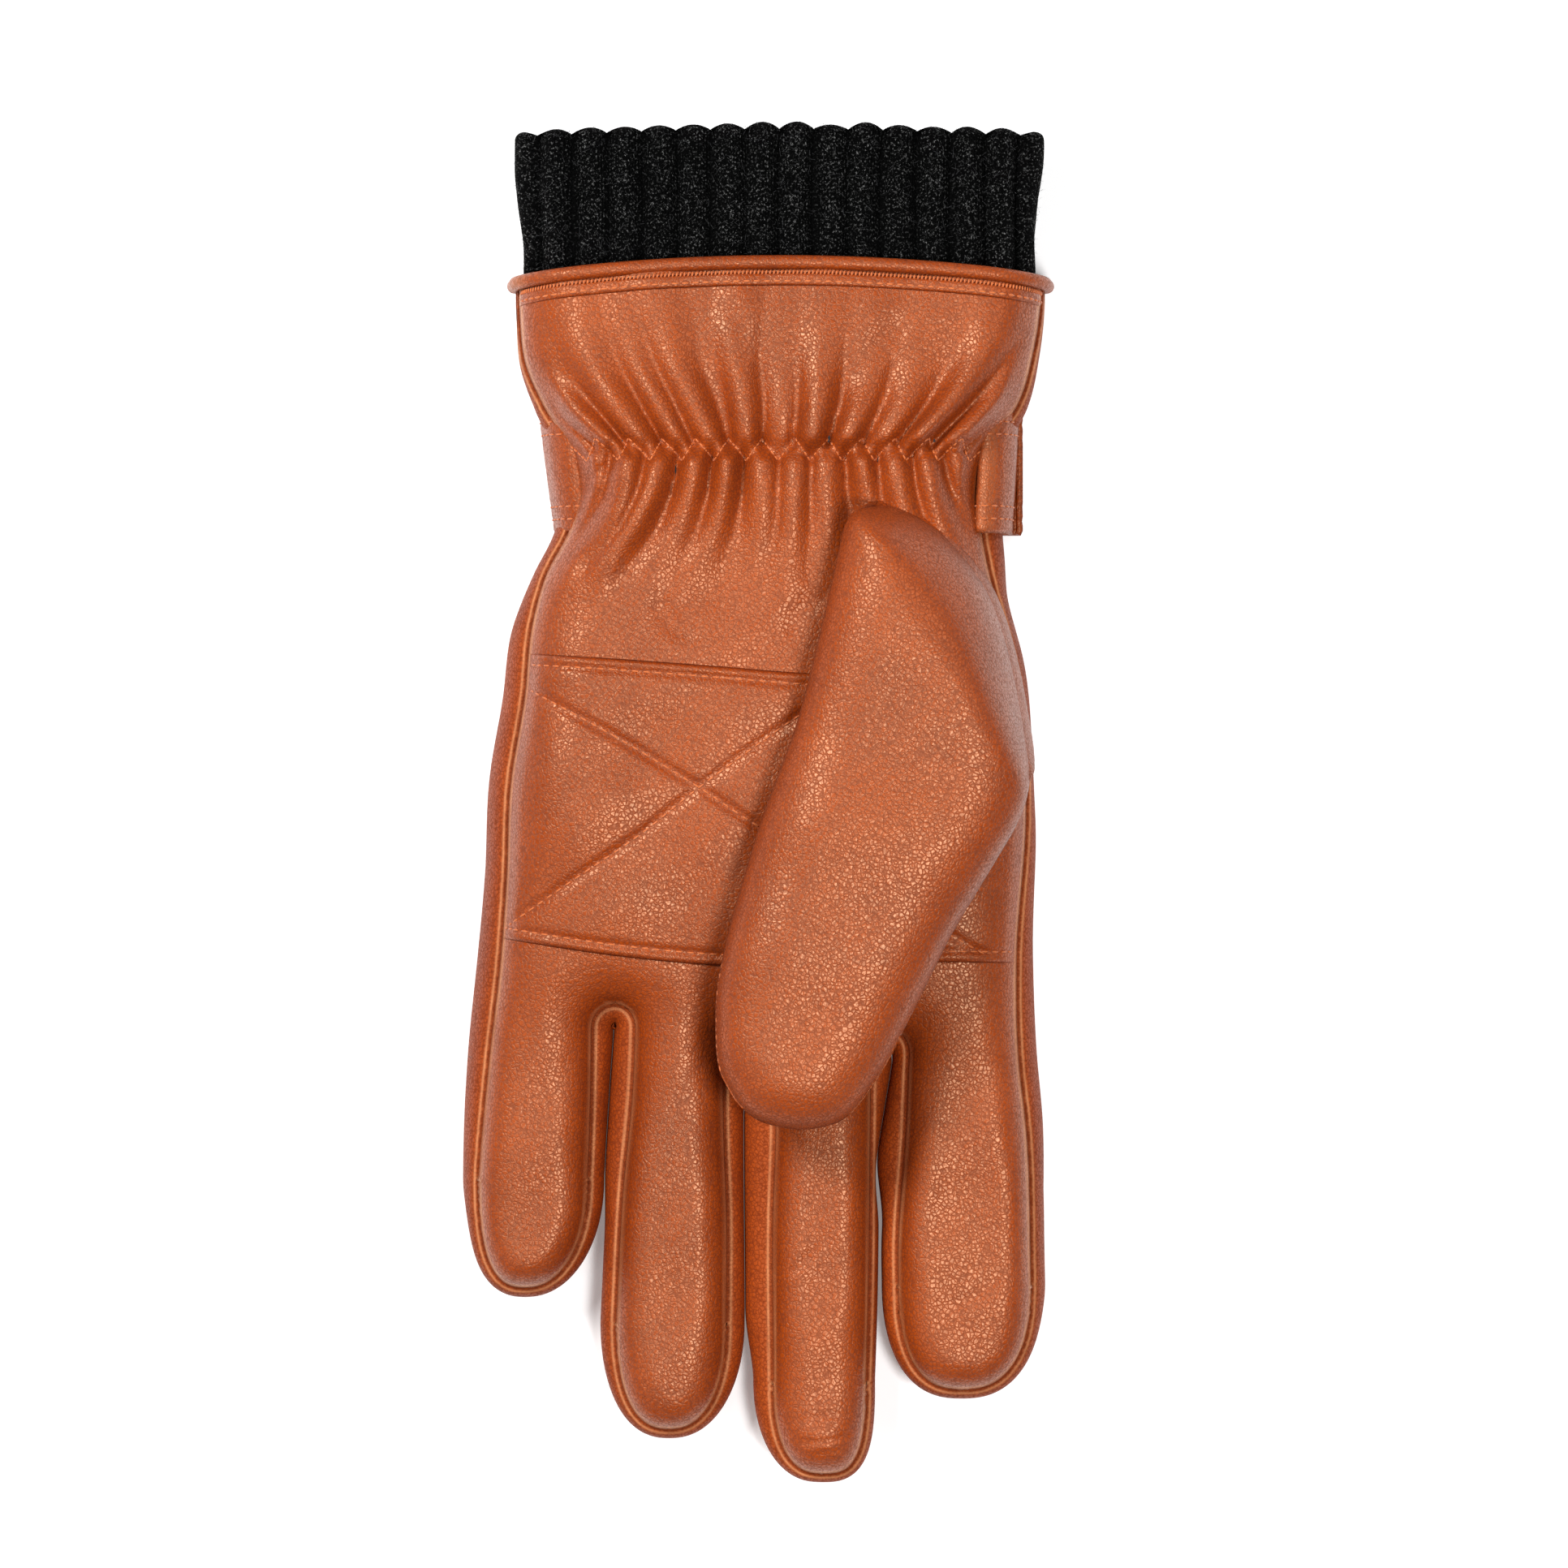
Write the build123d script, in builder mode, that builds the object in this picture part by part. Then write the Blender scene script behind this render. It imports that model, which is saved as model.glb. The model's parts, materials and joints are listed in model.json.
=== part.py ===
from build123d import *
import os

os.makedirs("parts", exist_ok=True)

# A left-hand winter glove in soft leather, lying on its back with the palm up and the thumb folded across it.
# +Z is up out of the palm, +Y runs from the fingertips to the cuff, and +X is the thumb's side. The origin is
# at the middle of the glove's outline, on the surface that it lies on. Millimetres throughout.

# Layers, from the outside in
leather = 1.2  # thickness of the glove leather
lining_out = 2.1  # depth of the lining's outer face; the elastic fits in the gap under the leather
lining_in = 3.3  # depth of the lining's inner face
overlay = 1.0  # leather of the patch and the cuff band, laid over the panels
foam = 0.8  # thin foam between patch and palm
clearance = 0.1  # between layers that lie on each other without touching

# Seams and edges
front_seam_z = 14.5  # height of the seams that join the front to the sides
back_seam_z = 6.0  # height of the seams that join the back to the side strips
crotch_y = -42.0  # line of the finger crotches
wrist_y = 72.0  # line of the elastic at the wrist
rim_y = 108.0  # edge of the leather cuff
patch_y = (-32.0, 31.0)
patch_edge_z = 19.0  # how far down the hand's sides the patch reaches
foam_inset = 3.0  # the foam stops this far inside the patch's edges
elastic_x = (-33.0, 42.0)
elastic_half = 4.0  # half the elastic's width
elastic_low_z = 20.0  # the elastic stays on the palm side

# The hand's section at stations along Y: y, left, right, underside, top
hand_stations = [
    (112.0, -49.5, 59.0, 1.3, 27.0),
    (98.0, -49.3, 58.4, 1.3, 27.0),
    (84.0, -44.0, 53.0, 5.4, 26.0),
    (wrist_y, -38.4, 46.8, 6.6, 25.5),
    (57.0, -40.8, 49.2, 6.0, 26.4),
    (38.0, -48.5, 52.4, 0.4, 27.4),
    (14.0, -53.2, 56.2, -0.3, 27.6),
    (-14.0, -56.0, 57.4, -0.3, 26.4),
    (crotch_y, -59.0, 58.4, -0.3, 22.0),
]
hand_corner = 9.0  # rounding of the hand's section

# The fingers: left and right edges at the root and at the tip, the tip's end, and the knuckle that bends
fingers = {
    "little": {"root": (-59.0, -30.2), "tip": (-59.4, -34.2), "end": -102.0, "knuckle": -69.0},
    "ring": {"root": (-29.4, -2.9), "tip": (-29.6, -5.4), "end": -131.2, "knuckle": -84.0},
    "middle": {"root": (-2.1, 25.6), "tip": (1.2, 25.6), "end": -140.0, "knuckle": -89.0},
    "index": {"root": (26.4, 58.4), "tip": (28.2, 58.6), "end": -123.0, "knuckle": -82.0},
}
finger_gaps = {"little_ring": -29.8, "ring_middle": -2.5, "middle_index": 26.0}
finger_start = -30.0  # the finger tubes begin inside the hand
finger_height = 21.0
finger_edge = 8.0  # rounding of a finger's long edges
tip_rounding = 0.46  # rounding of a fingertip's corners, as a share of its width
sleeve_half = 8.5  # half the length of the leather that crumples at a knuckle
room_left = 1.4  # how far a finger's region reaches past its root, so that neighbours part cleanly
room_right = 1.2
strip_half = 14.0  # half the width of the region of a side strip between two fingers
strip_start = 4.0  # the side strips start this far above the crotches

# The thumb, folded flat across the palm: the corners of its outline and the rounding of each
thumb_corners = [(17.0, 65.0), (39.0, 61.0), (58.8, 6.0), (29.0, -66.2), (-13.4, -66.2)]
thumb_radii = [6.0, 12.0, 12.0, 20.0, 15.0]
thumb_z = (29.8, 48.8)
thumb_edge = 8.0
thumb_hinge = ((38.5, 32.0), (20.0, 61.0))  # two points on the line that the thumb swings about
thumb_lining_wall = 1.2
gusset_reach = 12.5  # how far past the hinge line the crumpling leather reaches
thumb_hole_at = (38.0, 27.0)
thumb_hole_radius = 11.0
thumb_hole_z = (15.0, 34.8)
collar_z = (25.2, 30.8)  # the collar that joins thumb to palm

# The ribbed cuff, two layers of knit: y and how far inside the rim's outline
knit_profile = [(99.0, 2.6), (111.2, 2.3), (114.0, 0.4), (138.4, 0.4), (140.0, 1.4)]
knit_wall = 3.0
piping_radius = 1.4
piping_core = 0.8
piping_inset = 0.3
band_width = 3.6
band_gap = 0.4  # between the band and the cuff's edge
lining_gap = 0.5  # between the hand's lining and the knit

# The strap across the back of the wrist, and its snap fastener
strap_y = (56.5, 81.5)
strap_z = (1.0, 2.6)
strap_x = (-24.0, 54.7)  # free end, and the fold at the thumb's side
strap_end_radius = 8.0
tab_x = (-45.6, -2.0)  # the short tab on the little finger's side
tab_z = (4.2, 5.2)
sewn_in_z = 17.0  # height at which strap and tab are sewn into the side seams
sewn_in_reach = 18.0  # strap and tab run this far inwards, up to the leather
strap_root_x = 54.8
strap_root_z = 3.2
snap_at = (-14.0, 69.0)
snap_cap_radius = 6.5
snap_cap_height = 0.8
snap_socket_radius = 4.6
snap_socket_bore = 2.5
snap_socket_height = 1.2
snap_stud_radius = 2.1
snap_base_radius = 4.0
snap_plate = 0.4
snap_post_radius = 1.2
snap_post_reach = 2.0  # the post's hole in the tab runs this far each side of it
snap_cap_edge = 0.48  # rounding of the cap
snap_base = 0.3  # thickness of the stud's and the rivet's plates
snap_stud_height = 0.7

big = 200.0  # past the glove in every direction
below = -50.0  # under the glove


def export(piece, label):
    """Names a finished piece and writes it."""
    piece.part.label = label
    export_step(piece.part, "parts/" + label + ".step")


def slab(x=(-big, big), y=(-big, big), z=(-big, big)):
    """A box between the given limits."""
    with BuildPart() as block:
        with Locations(tuple((low + high) / 2 for low, high in (x, y, z))):
            Box(x[1] - x[0], y[1] - y[0], z[1] - z[0])
    return block.part


def section(left, right, low, high, inset, corner):
    """One cross-section of the hand, drawn in by inset."""
    with Locations(((left + right) / 2, (low + high) / 2)):
        RectangleRounded(right - left - 2 * inset, high - low - 2 * inset, max(corner - inset, 2.0))


def hand_envelope(inset):
    """The hand from past the cuff's edge to the crotches, drawn in by inset."""
    with BuildPart() as envelope:
        for y, left, right, low, high in hand_stations:
            station_y = y + inset if y == crotch_y else y
            with BuildSketch(Plane.XZ.offset(-station_y)):
                section(left, right, low, high, inset, hand_corner)
        loft(ruled=True)
    return envelope.part


def knit_envelope(inset):
    """The ribbed cuff's outline, drawn in by inset."""
    rim = hand_stations[0][1:]
    with BuildPart() as envelope:
        for y, depth in knit_profile:
            with BuildSketch(Plane.XZ.offset(-y)):
                section(*rim, depth + inset, hand_corner)
        loft(ruled=True)
    return envelope.part


def flat_tube(points, radii, z, edge, inset, open_end):
    """A filled leather tube: an outline in plan given its height, with its long edges rounded."""
    with BuildPart() as tube:
        with BuildSketch(Plane.XY.offset(z[0] + inset)):
            with BuildLine() as outline:
                FilletPolyline(*points, radius=radii, close=not open_end)
                if open_end:
                    Line(outline.line @ 1, outline.line @ 0)
            make_face()
            if inset:
                offset(amount=-inset, mode=Mode.REPLACE)
        extrude(amount=z[1] - z[0] - 2 * inset)
        flats = tube.faces().filter_by(Axis.Z)
        rims = flats.edges().sort_by(Axis.Y)
        fillet(rims[:-2] if open_end else rims, edge - inset)
    return tube.part


def finger_tube(name, inset):
    """One finger from inside the hand to its tip, drawn in by inset."""
    finger = fingers[name]
    points = [
        (finger["root"][0], finger_start),
        (finger["tip"][0], finger["end"]),
        (finger["tip"][1], finger["end"]),
        (finger["root"][1], finger_start),
    ]
    corner = tip_rounding * (finger["tip"][1] - finger["tip"][0])
    return flat_tube(points, [corner, corner], (0.0, finger_height), finger_edge, inset, True)


def wall(outer, inner):
    """The wall between two envelopes."""
    with BuildPart() as shell:
        add(outer)
        add(inner, mode=Mode.SUBTRACT)
    return shell.part


def cut_piece(shell, region, away=()):
    """The part of a shell that lies in a region, less whatever lies in away."""
    with BuildPart() as piece:
        add(shell)
        add(region, mode=Mode.INTERSECT)
        for cut in away:
            add(cut, mode=Mode.SUBTRACT)
    return piece


depths = (0.0, leather, lining_out, lining_in)
hand = {depth: hand_envelope(depth) for depth in depths}
finger = {name: {depth: finger_tube(name, depth) for depth in depths} for name in fingers}
sleeve_y = {
    name: (fingers[name]["knuckle"] - sleeve_half, fingers[name]["knuckle"] + sleeve_half) for name in fingers
}
tip_room = {
    name: slab(
        x=(fingers[name]["root"][0] - room_left, fingers[name]["root"][1] + room_right),
        y=(-big, sleeve_y[name][1]),
    )
    for name in fingers
}


def hand_and_fingers(outer, inner):
    """The wall of the hand and of the four fingers up to their knuckles, between two depths."""
    with BuildPart() as shell:
        add(hand[outer])
        for name in fingers:
            add(finger[name][outer])
        add(hand[inner], mode=Mode.SUBTRACT)
        for name in fingers:
            add(finger[name][inner], mode=Mode.SUBTRACT)
            add(tip_room[name], mode=Mode.SUBTRACT)
    return shell.part


# The hole that leads from the palm into the thumb, and the same less the collar that lines it
hole_tools = []
for radius in (thumb_hole_radius, thumb_hole_radius - leather):
    with BuildPart() as hole_tool:
        with BuildSketch(Plane.XY.offset(thumb_hole_z[0])):
            with Locations(thumb_hole_at):
                Circle(radius)
        extrude(amount=thumb_hole_z[1] - thumb_hole_z[0])
    hole_tools.append(hole_tool.part)
thumb_hole, thumb_bore = hole_tools

# The hand: palm panel, back panel, and the side strips between the fingers' roots
leather_shell = hand_and_fingers(0.0, leather)
strip_rooms = {
    gap: slab(
        x=(at - strip_half, at + strip_half),
        y=(-big, crotch_y + strip_start),
        z=(back_seam_z, front_seam_z),
    )
    for gap, at in finger_gaps.items()
}
palm_panel = cut_piece(leather_shell, slab(y=(-big, rim_y), z=(front_seam_z, big)), [thumb_hole])
export(palm_panel, "palm_panel")
back_panel = cut_piece(leather_shell, slab(y=(-big, rim_y), z=(0, front_seam_z)), strip_rooms.values())
export(back_panel, "back_panel")
for gap, room in strip_rooms.items():
    export(cut_piece(leather_shell, room), "fourchette_" + gap)
hand_lining = cut_piece(
    hand_and_fingers(lining_out, lining_in), slab(y=(-big, knit_profile[0][0] - lining_gap)), [thumb_hole]
)
export(hand_lining, "hand_lining")

# Fingertips: front, back, side strips and lining, and the sleeve that bends at the knuckle
for name in fingers:
    middle_x = sum(fingers[name]["root"]) / 2
    beyond = (-big, sleeve_y[name][0])
    tip_shell = wall(finger[name][0.0], finger[name][leather])
    strips = {
        "left": slab(x=(-big, middle_x), y=beyond, z=(back_seam_z, front_seam_z)),
        "right": slab(x=(middle_x, big), y=beyond, z=(back_seam_z, front_seam_z)),
    }
    if name == "little":
        del strips["left"]  # the back leather wraps round the hand's outer sides
    if name == "index":
        del strips["right"]
    export(cut_piece(tip_shell, slab(y=beyond, z=(front_seam_z, big))), name + "_tip_front")
    export(cut_piece(tip_shell, slab(y=beyond, z=(0, front_seam_z)), strips.values()), name + "_tip_back")
    for side, region in strips.items():
        export(cut_piece(tip_shell, region), name + "_tip_fourchette_" + side)
    lining_shell = wall(finger[name][lining_out], finger[name][lining_in])
    export(cut_piece(lining_shell, slab(y=beyond)), name + "_tip_lining")
    sleeve_shell = wall(finger[name][0.0], finger[name][lining_in])
    export(cut_piece(sleeve_shell, slab(y=sleeve_y[name])), name + "_knuckle_sleeve")

# The thumb: leather front and back with a lining, which swing, and the gusset that joins them to the palm
thumb_lining_out = leather + clearance
thumb_lining_in = thumb_lining_out + thumb_lining_wall
thumb = {
    depth: flat_tube(thumb_corners, thumb_radii, thumb_z, thumb_edge, depth, False)
    for depth in (0.0, leather, thumb_lining_out, thumb_lining_in)
}
thumb_middle_z = sum(thumb_z) / 2
hinge_from, hinge_to = thumb_hinge
hinge_plane = Plane(
    origin=(*hinge_from, thumb_middle_z),
    x_dir=(hinge_to[0] - hinge_from[0], hinge_to[1] - hinge_from[1], 0),
    z_dir=(0, 0, 1),
)
halves = {}
for label, side, height in (("front", 1, thumb_middle_z), ("whole", 1, below), ("root", -1, below)):
    with BuildPart(hinge_plane.offset(height - thumb_middle_z)) as half:
        with Locations((0, gusset_reach + side * big / 2, big / 4)):
            Box(2 * big, big, big / 2)
    halves[label] = half.part
thumb_leather = wall(thumb[0.0], thumb[leather])
export(cut_piece(thumb_leather, halves["front"]), "thumb_front")
export(cut_piece(thumb_leather, halves["whole"], [halves["front"]]), "thumb_back")
export(cut_piece(wall(thumb[thumb_lining_out], thumb[thumb_lining_in]), halves["whole"]), "thumb_lining")
gusset_wall = wall(thumb[0.0], thumb[thumb_lining_in])
with BuildPart() as thumb_gusset:
    add(gusset_wall)
    with BuildSketch(Plane.XY.offset(collar_z[0])):
        with Locations(thumb_hole_at):
            Circle(thumb_hole_radius - clearance)
    extrude(amount=collar_z[1] - collar_z[0])
    add(halves["root"], mode=Mode.INTERSECT)
    add(thumb_bore, mode=Mode.SUBTRACT)
export(thumb_gusset, "thumb_gusset")

# The reinforcing patch across the palm, and the thin foam under it
foam_face = hand_envelope(-foam)
patch_room = slab(y=patch_y, z=(patch_edge_z, big))
foam_y = (patch_y[0] + foam_inset, patch_y[1] - foam_inset)
foam_room = slab(y=foam_y, z=(patch_edge_z + foam_inset, big))
patch_shell = wall(hand_envelope(-foam - overlay), foam_face)
export(cut_piece(patch_shell, patch_room, [thumb_hole]), "palm_patch")
export(cut_piece(wall(foam_face, hand[0.0]), foam_room, [thumb_hole]), "patch_foam")

# The elastic that gathers the palm side of the wrist
elastic_room = slab(x=elastic_x, y=(wrist_y - elastic_half, wrist_y + elastic_half), z=(elastic_low_z, big))
elastic_shell = wall(hand_envelope(leather + clearance), hand_envelope(lining_out - clearance))
export(cut_piece(elastic_shell, elastic_room), "wrist_elastic")

# The cuff: a stitched band, a corded piping and the ribbed knit
band_room = slab(y=(rim_y - band_gap - band_width, rim_y - band_gap))
export(cut_piece(wall(hand_envelope(-overlay), hand[0.0]), band_room), "cuff_band")
rim_left, rim_right, rim_low, rim_high = hand_stations[0][1:]
piping_corners = [
    (rim_left + piping_inset, rim_low + piping_inset),
    (rim_right - piping_inset, rim_low + piping_inset),
    (rim_right - piping_inset, rim_high - piping_inset),
    (rim_left + piping_inset, rim_high - piping_inset),
]
for label, outside, inside in (("cuff_piping", piping_radius, piping_core), ("piping_cord", piping_core, 0.0)):
    with BuildPart() as piping:
        with BuildLine(Plane.XZ.offset(-rim_y - piping_radius)) as route:
            FilletPolyline(*piping_corners, radius=hand_corner - piping_inset, close=True)
        with BuildSketch(Plane(origin=route.line @ 0, z_dir=route.line % 0)):
            Circle(outside)
            if inside:
                Circle(inside, mode=Mode.SUBTRACT)
        sweep()
    export(piping, label)
with BuildPart() as knit_cuff:
    add(knit_envelope(0.0))
    add(knit_envelope(knit_wall), mode=Mode.SUBTRACT)
export(knit_cuff, "knit_cuff")

# The strap: sewn in at the thumb's side, round to the back, and free from its fold to its rounded end
strap_mid_y = sum(strap_y) / 2
strap_width = strap_y[1] - strap_y[0]
strap_thickness = strap_z[1] - strap_z[0]
tab_thickness = tab_z[1] - tab_z[0]
with BuildPart() as strap:
    with BuildSketch(Plane.XY.offset(strap_z[0])) as strap_outline:
        with Locations((sum(strap_x) / 2, strap_mid_y)):
            Rectangle(strap_x[1] - strap_x[0], strap_width)
        fillet(strap_outline.vertices().group_by(Axis.X)[0], strap_end_radius)
        with Locations(snap_at):
            Circle(snap_post_radius, mode=Mode.SUBTRACT)
    extrude(amount=strap_thickness)
export(strap, "strap")

with BuildPart() as strap_root:
    with BuildSketch(Plane.XZ.offset(-strap_y[1])):
        with BuildLine():
            Polyline(
                (strap_root_x, strap_root_z),
                (strap_root_x, sewn_in_z),
                (strap_root_x - sewn_in_reach, sewn_in_z),
                (strap_root_x - sewn_in_reach, sewn_in_z - strap_thickness),
                (strap_root_x - strap_thickness, sewn_in_z - strap_thickness),
                (strap_root_x - strap_thickness, strap_root_z),
                close=True,
            )
        make_face()
    extrude(amount=strap_width)
    add(hand[0.0], mode=Mode.SUBTRACT)
with BuildPart() as strap_side:
    add(strap_root.solids().sort_by(Axis.X)[-1])
export(strap_side, "strap_side")

with BuildPart() as tab_blank:
    with BuildSketch(Plane.XZ.offset(-strap_y[1])):
        with BuildLine():
            Polyline(
                (tab_x[1], tab_z[0]),
                (tab_x[0], tab_z[0]),
                (tab_x[0], sewn_in_z),
                (tab_x[0] + sewn_in_reach, sewn_in_z),
                (tab_x[0] + sewn_in_reach, sewn_in_z - tab_thickness),
                (tab_x[0] + tab_thickness, sewn_in_z - tab_thickness),
                (tab_x[0] + tab_thickness, tab_z[1]),
                (tab_x[1], tab_z[1]),
                close=True,
            )
        make_face()
    extrude(amount=strap_width)
    add(hand[0.0], mode=Mode.SUBTRACT)
    with BuildSketch(Plane.XY.offset(tab_z[0] - snap_post_reach)):
        with Locations(snap_at):
            Circle(snap_post_radius)
    extrude(amount=2 * snap_post_reach, mode=Mode.SUBTRACT)
with BuildPart() as strap_tab:
    add(tab_blank.solids().sort_by(Axis.X)[0])
export(strap_tab, "strap_tab")

# The snap: cap and socket on the strap, stud and rivet on the tab
with BuildPart() as snap_cap:
    with BuildSketch(Plane.XY.offset(strap_z[0])):
        with Locations(snap_at):
            Circle(snap_cap_radius)
    extrude(amount=-snap_cap_height)
    fillet(snap_cap.faces().sort_by(Axis.Z)[0].edges(), snap_cap_edge)
    with BuildSketch(Plane.XY.offset(strap_z[0])):
        with Locations(snap_at):
            Circle(snap_post_radius)
    extrude(amount=strap_thickness)
export(snap_cap, "snap_cap")
with BuildPart() as snap_socket:
    with BuildSketch(Plane.XY.offset(strap_z[1])):
        with Locations(snap_at):
            Circle(snap_socket_radius)
    extrude(amount=snap_socket_height)
    fillet(snap_socket.faces().sort_by(Axis.Z)[-1].edges(), snap_plate)
    with BuildSketch(Plane.XY.offset(strap_z[1] + snap_plate)):
        with Locations(snap_at):
            Circle(snap_socket_bore)
    extrude(amount=snap_socket_height, mode=Mode.SUBTRACT)
export(snap_socket, "snap_socket")
with BuildPart() as snap_stud:
    with BuildSketch(Plane.XY.offset(tab_z[0])):
        with Locations(snap_at):
            Circle(snap_base_radius)
    extrude(amount=-snap_base)
    with BuildSketch(Plane.XY.offset(tab_z[0] - snap_base)):
        with Locations(snap_at):
            Circle(snap_stud_radius)
    extrude(amount=-snap_stud_height)
    fillet(snap_stud.faces().sort_by(Axis.Z)[0].edges(), snap_base)
export(snap_stud, "snap_stud")
with BuildPart() as snap_rivet:
    with BuildSketch(Plane.XY.offset(tab_z[0])):
        with Locations(snap_at):
            Circle(snap_post_radius)
    extrude(amount=tab_thickness)
    with BuildSketch(Plane.XY.offset(tab_z[1])):
        with Locations(snap_at):
            Circle(snap_base_radius)
    extrude(amount=snap_base)
export(snap_rivet, "snap_rivet")
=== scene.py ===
import json
import math

import bmesh
import bpy
import numpy as np
from mathutils import Matrix, Vector
from mathutils.kdtree import KDTree


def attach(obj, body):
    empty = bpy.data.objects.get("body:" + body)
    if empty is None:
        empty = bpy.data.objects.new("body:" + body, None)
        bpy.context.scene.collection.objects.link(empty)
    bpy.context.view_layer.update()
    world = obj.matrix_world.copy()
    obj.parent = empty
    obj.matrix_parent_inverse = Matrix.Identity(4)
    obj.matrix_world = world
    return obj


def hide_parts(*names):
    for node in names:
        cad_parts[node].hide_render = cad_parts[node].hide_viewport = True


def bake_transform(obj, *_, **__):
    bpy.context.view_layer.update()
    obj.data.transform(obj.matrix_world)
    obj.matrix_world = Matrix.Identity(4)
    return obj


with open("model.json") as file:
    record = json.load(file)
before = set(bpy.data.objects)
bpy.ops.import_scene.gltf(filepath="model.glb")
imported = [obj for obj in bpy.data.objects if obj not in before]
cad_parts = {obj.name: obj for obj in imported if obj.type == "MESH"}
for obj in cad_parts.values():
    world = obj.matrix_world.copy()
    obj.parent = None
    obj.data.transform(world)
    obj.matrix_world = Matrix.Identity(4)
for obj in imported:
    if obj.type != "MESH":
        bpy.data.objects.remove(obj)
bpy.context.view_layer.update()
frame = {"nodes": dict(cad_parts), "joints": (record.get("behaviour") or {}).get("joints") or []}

# A left-hand leather glove on its back: palm up, fingers towards -Y, and the thumb, on the +X side, folded
# over the palm. Plan shapes below are in millimetres; pieces are made in metres.
mm = 0.001


# Shape helpers

def curve(*points):
    # x as a smooth function of y, through a few points.
    t, x = np.array(sorted(points), float).T
    slope = np.gradient(x, t)

    def at(v):
        v = np.clip(np.asarray(v, float), t[0], t[-1])
        i = np.clip(np.searchsorted(t, v, side="right") - 1, 0, len(t) - 2)
        h = t[i + 1] - t[i]
        s = (v - t[i]) / h
        s2, s3 = s * s, s * s * s
        return ((2 * s3 - 3 * s2 + 1) * x[i] + (s3 - 2 * s2 + s) * h * slope[i]
                + (3 * s2 - 2 * s3) * x[i + 1] + (s3 - s2) * h * slope[i + 1])
    return at


def ease(a, b, v):
    # 0 before a, 1 after b, smooth between.
    t = np.clip((np.asarray(v, float) - a) / (b - a), 0, 1)
    return t * t * (3 - 2 * t)


def quarter(t):
    # A quarter circle: 0 at 0 with an upright start, 1 from 1 on.
    t = np.clip(t, 0, 1)
    return np.sqrt(1 - (1 - t) ** 2)


def along(points, count):
    # count + 1 places evenly spaced along a line of points.
    points = np.asarray(points, float)
    run = np.concatenate([[0], np.cumsum(np.linalg.norm(np.diff(points, axis=0), axis=1))])
    s = np.linspace(0, run[-1], count + 1)
    return np.stack([np.interp(s, run, points[:, i]) for i in range(points.shape[1])], 1)


def smoothLine(points, steps=12):
    # A smooth line through a few points, for outlines in plan.
    p = np.asarray(points, float)
    p = np.vstack([2 * p[0] - p[1], p, 2 * p[-1] - p[-2]])
    t = np.linspace(0, 1, steps, endpoint=False)[:, None]
    parts = [0.5 * (2 * b + (c - a) * t + (2 * a - 5 * b + 4 * c - d) * t ** 2
                    + (3 * b - a - 3 * c + d) * t ** 3)
             for a, b, c, d in zip(p, p[1:], p[2:], p[3:])]
    return np.vstack(parts + [p[-2:-1]])


def softWaves(x, y, size, seed):
    # Gentle uneven swell of about unit height, for leather that isn't perfectly flat.
    r = np.random.default_rng(seed)
    total = np.zeros_like(np.asarray(x, float))
    for _ in range(7):
        angle, phase, k = r.uniform(0, math.pi), r.uniform(0, 6.28), 6.28 / (size * r.uniform(0.6, 1.6))
        total = total + np.sin(k * (math.cos(angle) * x + math.sin(angle) * y) + phase)
    return total / 3


# Mesh helpers

def makeObject(name, bm):
    mesh = bpy.data.meshes.new(name)
    bm.to_mesh(mesh)
    bm.free()
    mesh.polygons.foreach_set("use_smooth", [True] * len(mesh.polygons))
    piece = bpy.data.objects.new(name, mesh)
    bpy.context.scene.collection.objects.link(piece)
    return piece


def gridSheet(bm, across, rows, place, facing=(0, 0, 1)):
    # A grid bent to place(u, v), which gives points in mm; its faces look along facing.
    made = bmesh.ops.create_grid(bm, x_segments=across, y_segments=rows, size=0.5)["verts"]
    uv = np.array([v.co[:2] for v in made]) + 0.5
    placed = place(uv[:, 0], uv[:, 1]) * mm
    for v, co in zip(made, placed):
        v.co = co
    faces = list({f for v in made for f in v.link_faces})
    for f in faces:
        f.normal_update()
    way = facing if callable(facing) else (lambda c: Vector(facing))
    if sum(f.normal.dot(way(f.calc_center_median())) for f in faces[::7]) < 0:
        bmesh.ops.reverse_faces(bm, faces=faces)
    return made


def weld(bm, gap=0.02):
    bmesh.ops.remove_doubles(bm, verts=bm.verts, dist=gap * mm)


def thicken(piece, thickness):
    solid = piece.modifiers.new("thickness", "SOLIDIFY")
    solid.thickness = thickness * mm
    solid.offset = -1.0
    return piece


def joinRow(piece, y):
    # Keeps the light even where two sheets meet end to end at a row of the given y.
    places, used = piece.data.vertices, {}
    for loop in piece.data.loops:
        used[loop.edge_index] = used.get(loop.edge_index, 0) + 1
    for edge in piece.data.edges:
        if used[edge.index] == 1 and all(abs(places[i].co.y / mm - y) < 0.4 for i in edge.vertices):
            edge.use_edge_sharp = True


def coons(bottom, top, left, right):
    # Fills four sides, each a function from 0..1 to plan points, and gives place(u, v).
    def place(u, v):
        b, t, l, r = bottom(u), top(u), left(v), right(v)
        corner = [f(np.array([e]))[0] for f, e in ((bottom, 0), (bottom, 1), (top, 0), (top, 1))]
        u, v = u[:, None], v[:, None]
        return ((1 - v) * b + v * t + (1 - u) * l + u * r - (1 - u) * (1 - v) * corner[0]
                - u * (1 - v) * corner[1] - (1 - u) * v * corner[2] - u * v * corner[3])
    return place


def asSide(points, steps=200):
    # A side for coons(), from a line of points.
    even = along(points, steps)
    s = np.linspace(0, 1, steps + 1)
    return lambda t: np.stack([np.interp(t, s, even[:, 0]), np.interp(t, s, even[:, 1])], 1)


# The hand's plan: seams of the palm leather, and how far the side leather stands out past them

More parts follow.
